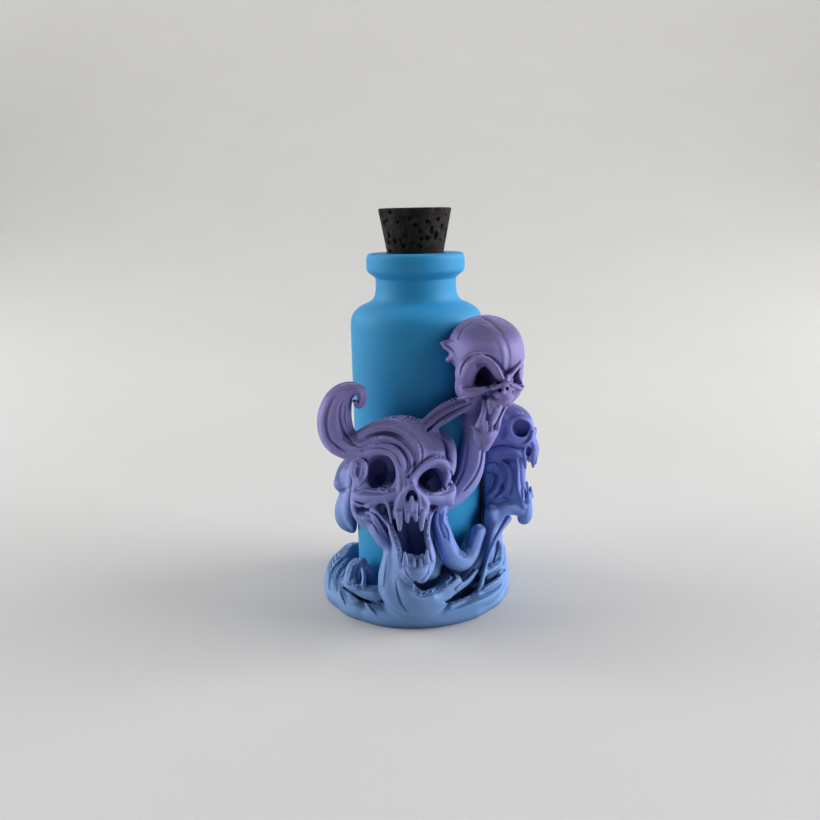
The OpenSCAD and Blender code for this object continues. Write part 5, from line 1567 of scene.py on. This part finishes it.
floor = sweep_floor()
m, nt, b = new_material("pale_floor")
tc = N(nt, "ShaderNodeTexCoord")
nz = N(nt, "ShaderNodeTexNoise", Scale=9.0, Detail=3.0)
nt.links.new(tc.outputs["Object"], nz.inputs["Vector"])
fs = N(nt, "ShaderNodeSeparateXYZ")
nt.links.new(tc.outputs["Object"], fs.inputs[0])
# painted light: the floor colour is a little darker on the flat and grows brighter up the backdrop, more so towards its
# sides, where the wash light falls off
backdrop_painted_light = math_node(nt, "MULTIPLY", fs.outputs[0], fs.outputs[0])
backdrop_painted_light = math_node(nt, "MULTIPLY_ADD", backdrop_painted_light, 0.26, 0.14)
backdrop_painted_light = math_node(nt, "MULTIPLY_ADD", backdrop_painted_light, fs.outputs[2], 0.93)
nt.links.new(mix(nt, 1.0, ramp(nt, nz.outputs["Fac"], [(0.3, (0.552, 0.548, 0.540)), (0.7, (0.566, 0.562, 0.554))]), backdrop_painted_light, "MULTIPLY"), b.inputs["Base Color"])
nt.links.new(ramp(nt, nz.outputs["Fac"], [(0.3, (0.74,) * 3), (0.7, (0.80,) * 3)]), b.inputs["Roughness"])
b.inputs["Specular IOR Level"].default_value = 0.2
floor.data.materials.append(m)


def area(name, loc, target, size, power, colour=(1, 1, 1)):
    l = bpy.data.lights.new(name, "AREA")
    l.shape = "RECTANGLE"
    l.size, l.size_y = size
    l.energy = power
    l.color = colour
    ob = bpy.data.objects.new(name, l)
    ob.location = loc
    ob.rotation_mode = "QUATERNION"
    ob.rotation_quaternion = (Vector(target) - Vector(loc)).to_track_quat("-Z", "Y")
    bpy.context.scene.collection.objects.link(ob)
    return ob


area("left_softbox", (-0.90, 0.08, 0.42), (0.0, 0, 0.05), (0.8, 0.7), 8.0)
area("right_softbox", (1.00, -0.02, 0.42), (0.0, 0, 0.05), (0.9, 0.7), 15.5)
area("top_softbox", (0.0, 0.50, 2.30), (0, 0.30, 0), (2.0, 2.0), 5.0)
area("backdrop_wash", (0.0, 0.60, 1.90), (0, 1.95, 0.75), (6.0, 0.8), 44.0, (1.0, 0.985, 0.955))

# soft surroundings, dimmer on the camera's side
world = bpy.data.worlds.new("soft_studio")
bpy.context.scene.world = world
world.use_nodes = True
wt = world.node_tree
bg = wt.nodes["Background"]
tc = N(wt, "ShaderNodeTexCoord")
sep = N(wt, "ShaderNodeSeparateXYZ")
wt.links.new(tc.outputs["Generated"], sep.inputs[0])
side = math_node(wt, "MULTIPLY_ADD", sep.outputs[1], 0.5, 0.5)
wt.links.new(ramp(wt, side, [(0.0, (0.09, 0.095, 0.105)), (0.38, (0.115, 0.12, 0.13)), (0.60, (0.27, 0.28, 0.30)), (1.0, (0.36, 0.37, 0.39))]), bg.inputs[0])
bg.inputs[1].default_value = 1.0

cam_data = bpy.data.cameras.new("camera")
cam_data.sensor_width = 36.0
cam_data.sensor_fit = "HORIZONTAL"
cam_data.lens = F / 820 * 36.0
cam_data.clip_start, cam_data.clip_end = 0.01, 20
cam = bpy.data.objects.new("camera", cam_data)
bpy.context.scene.collection.objects.link(cam)
m3 = Matrix(((RT[0], UP[0], -FW[0]), (RT[1], UP[1], -FW[1]), (RT[2], UP[2], -FW[2])))
cam.rotation_mode = "QUATERNION"
cam.rotation_quaternion = m3.to_quaternion()
cam.location = Vector(CAM / 1000)
bpy.context.scene.camera = cam
bpy.context.scene.view_settings.view_transform = "Standard"
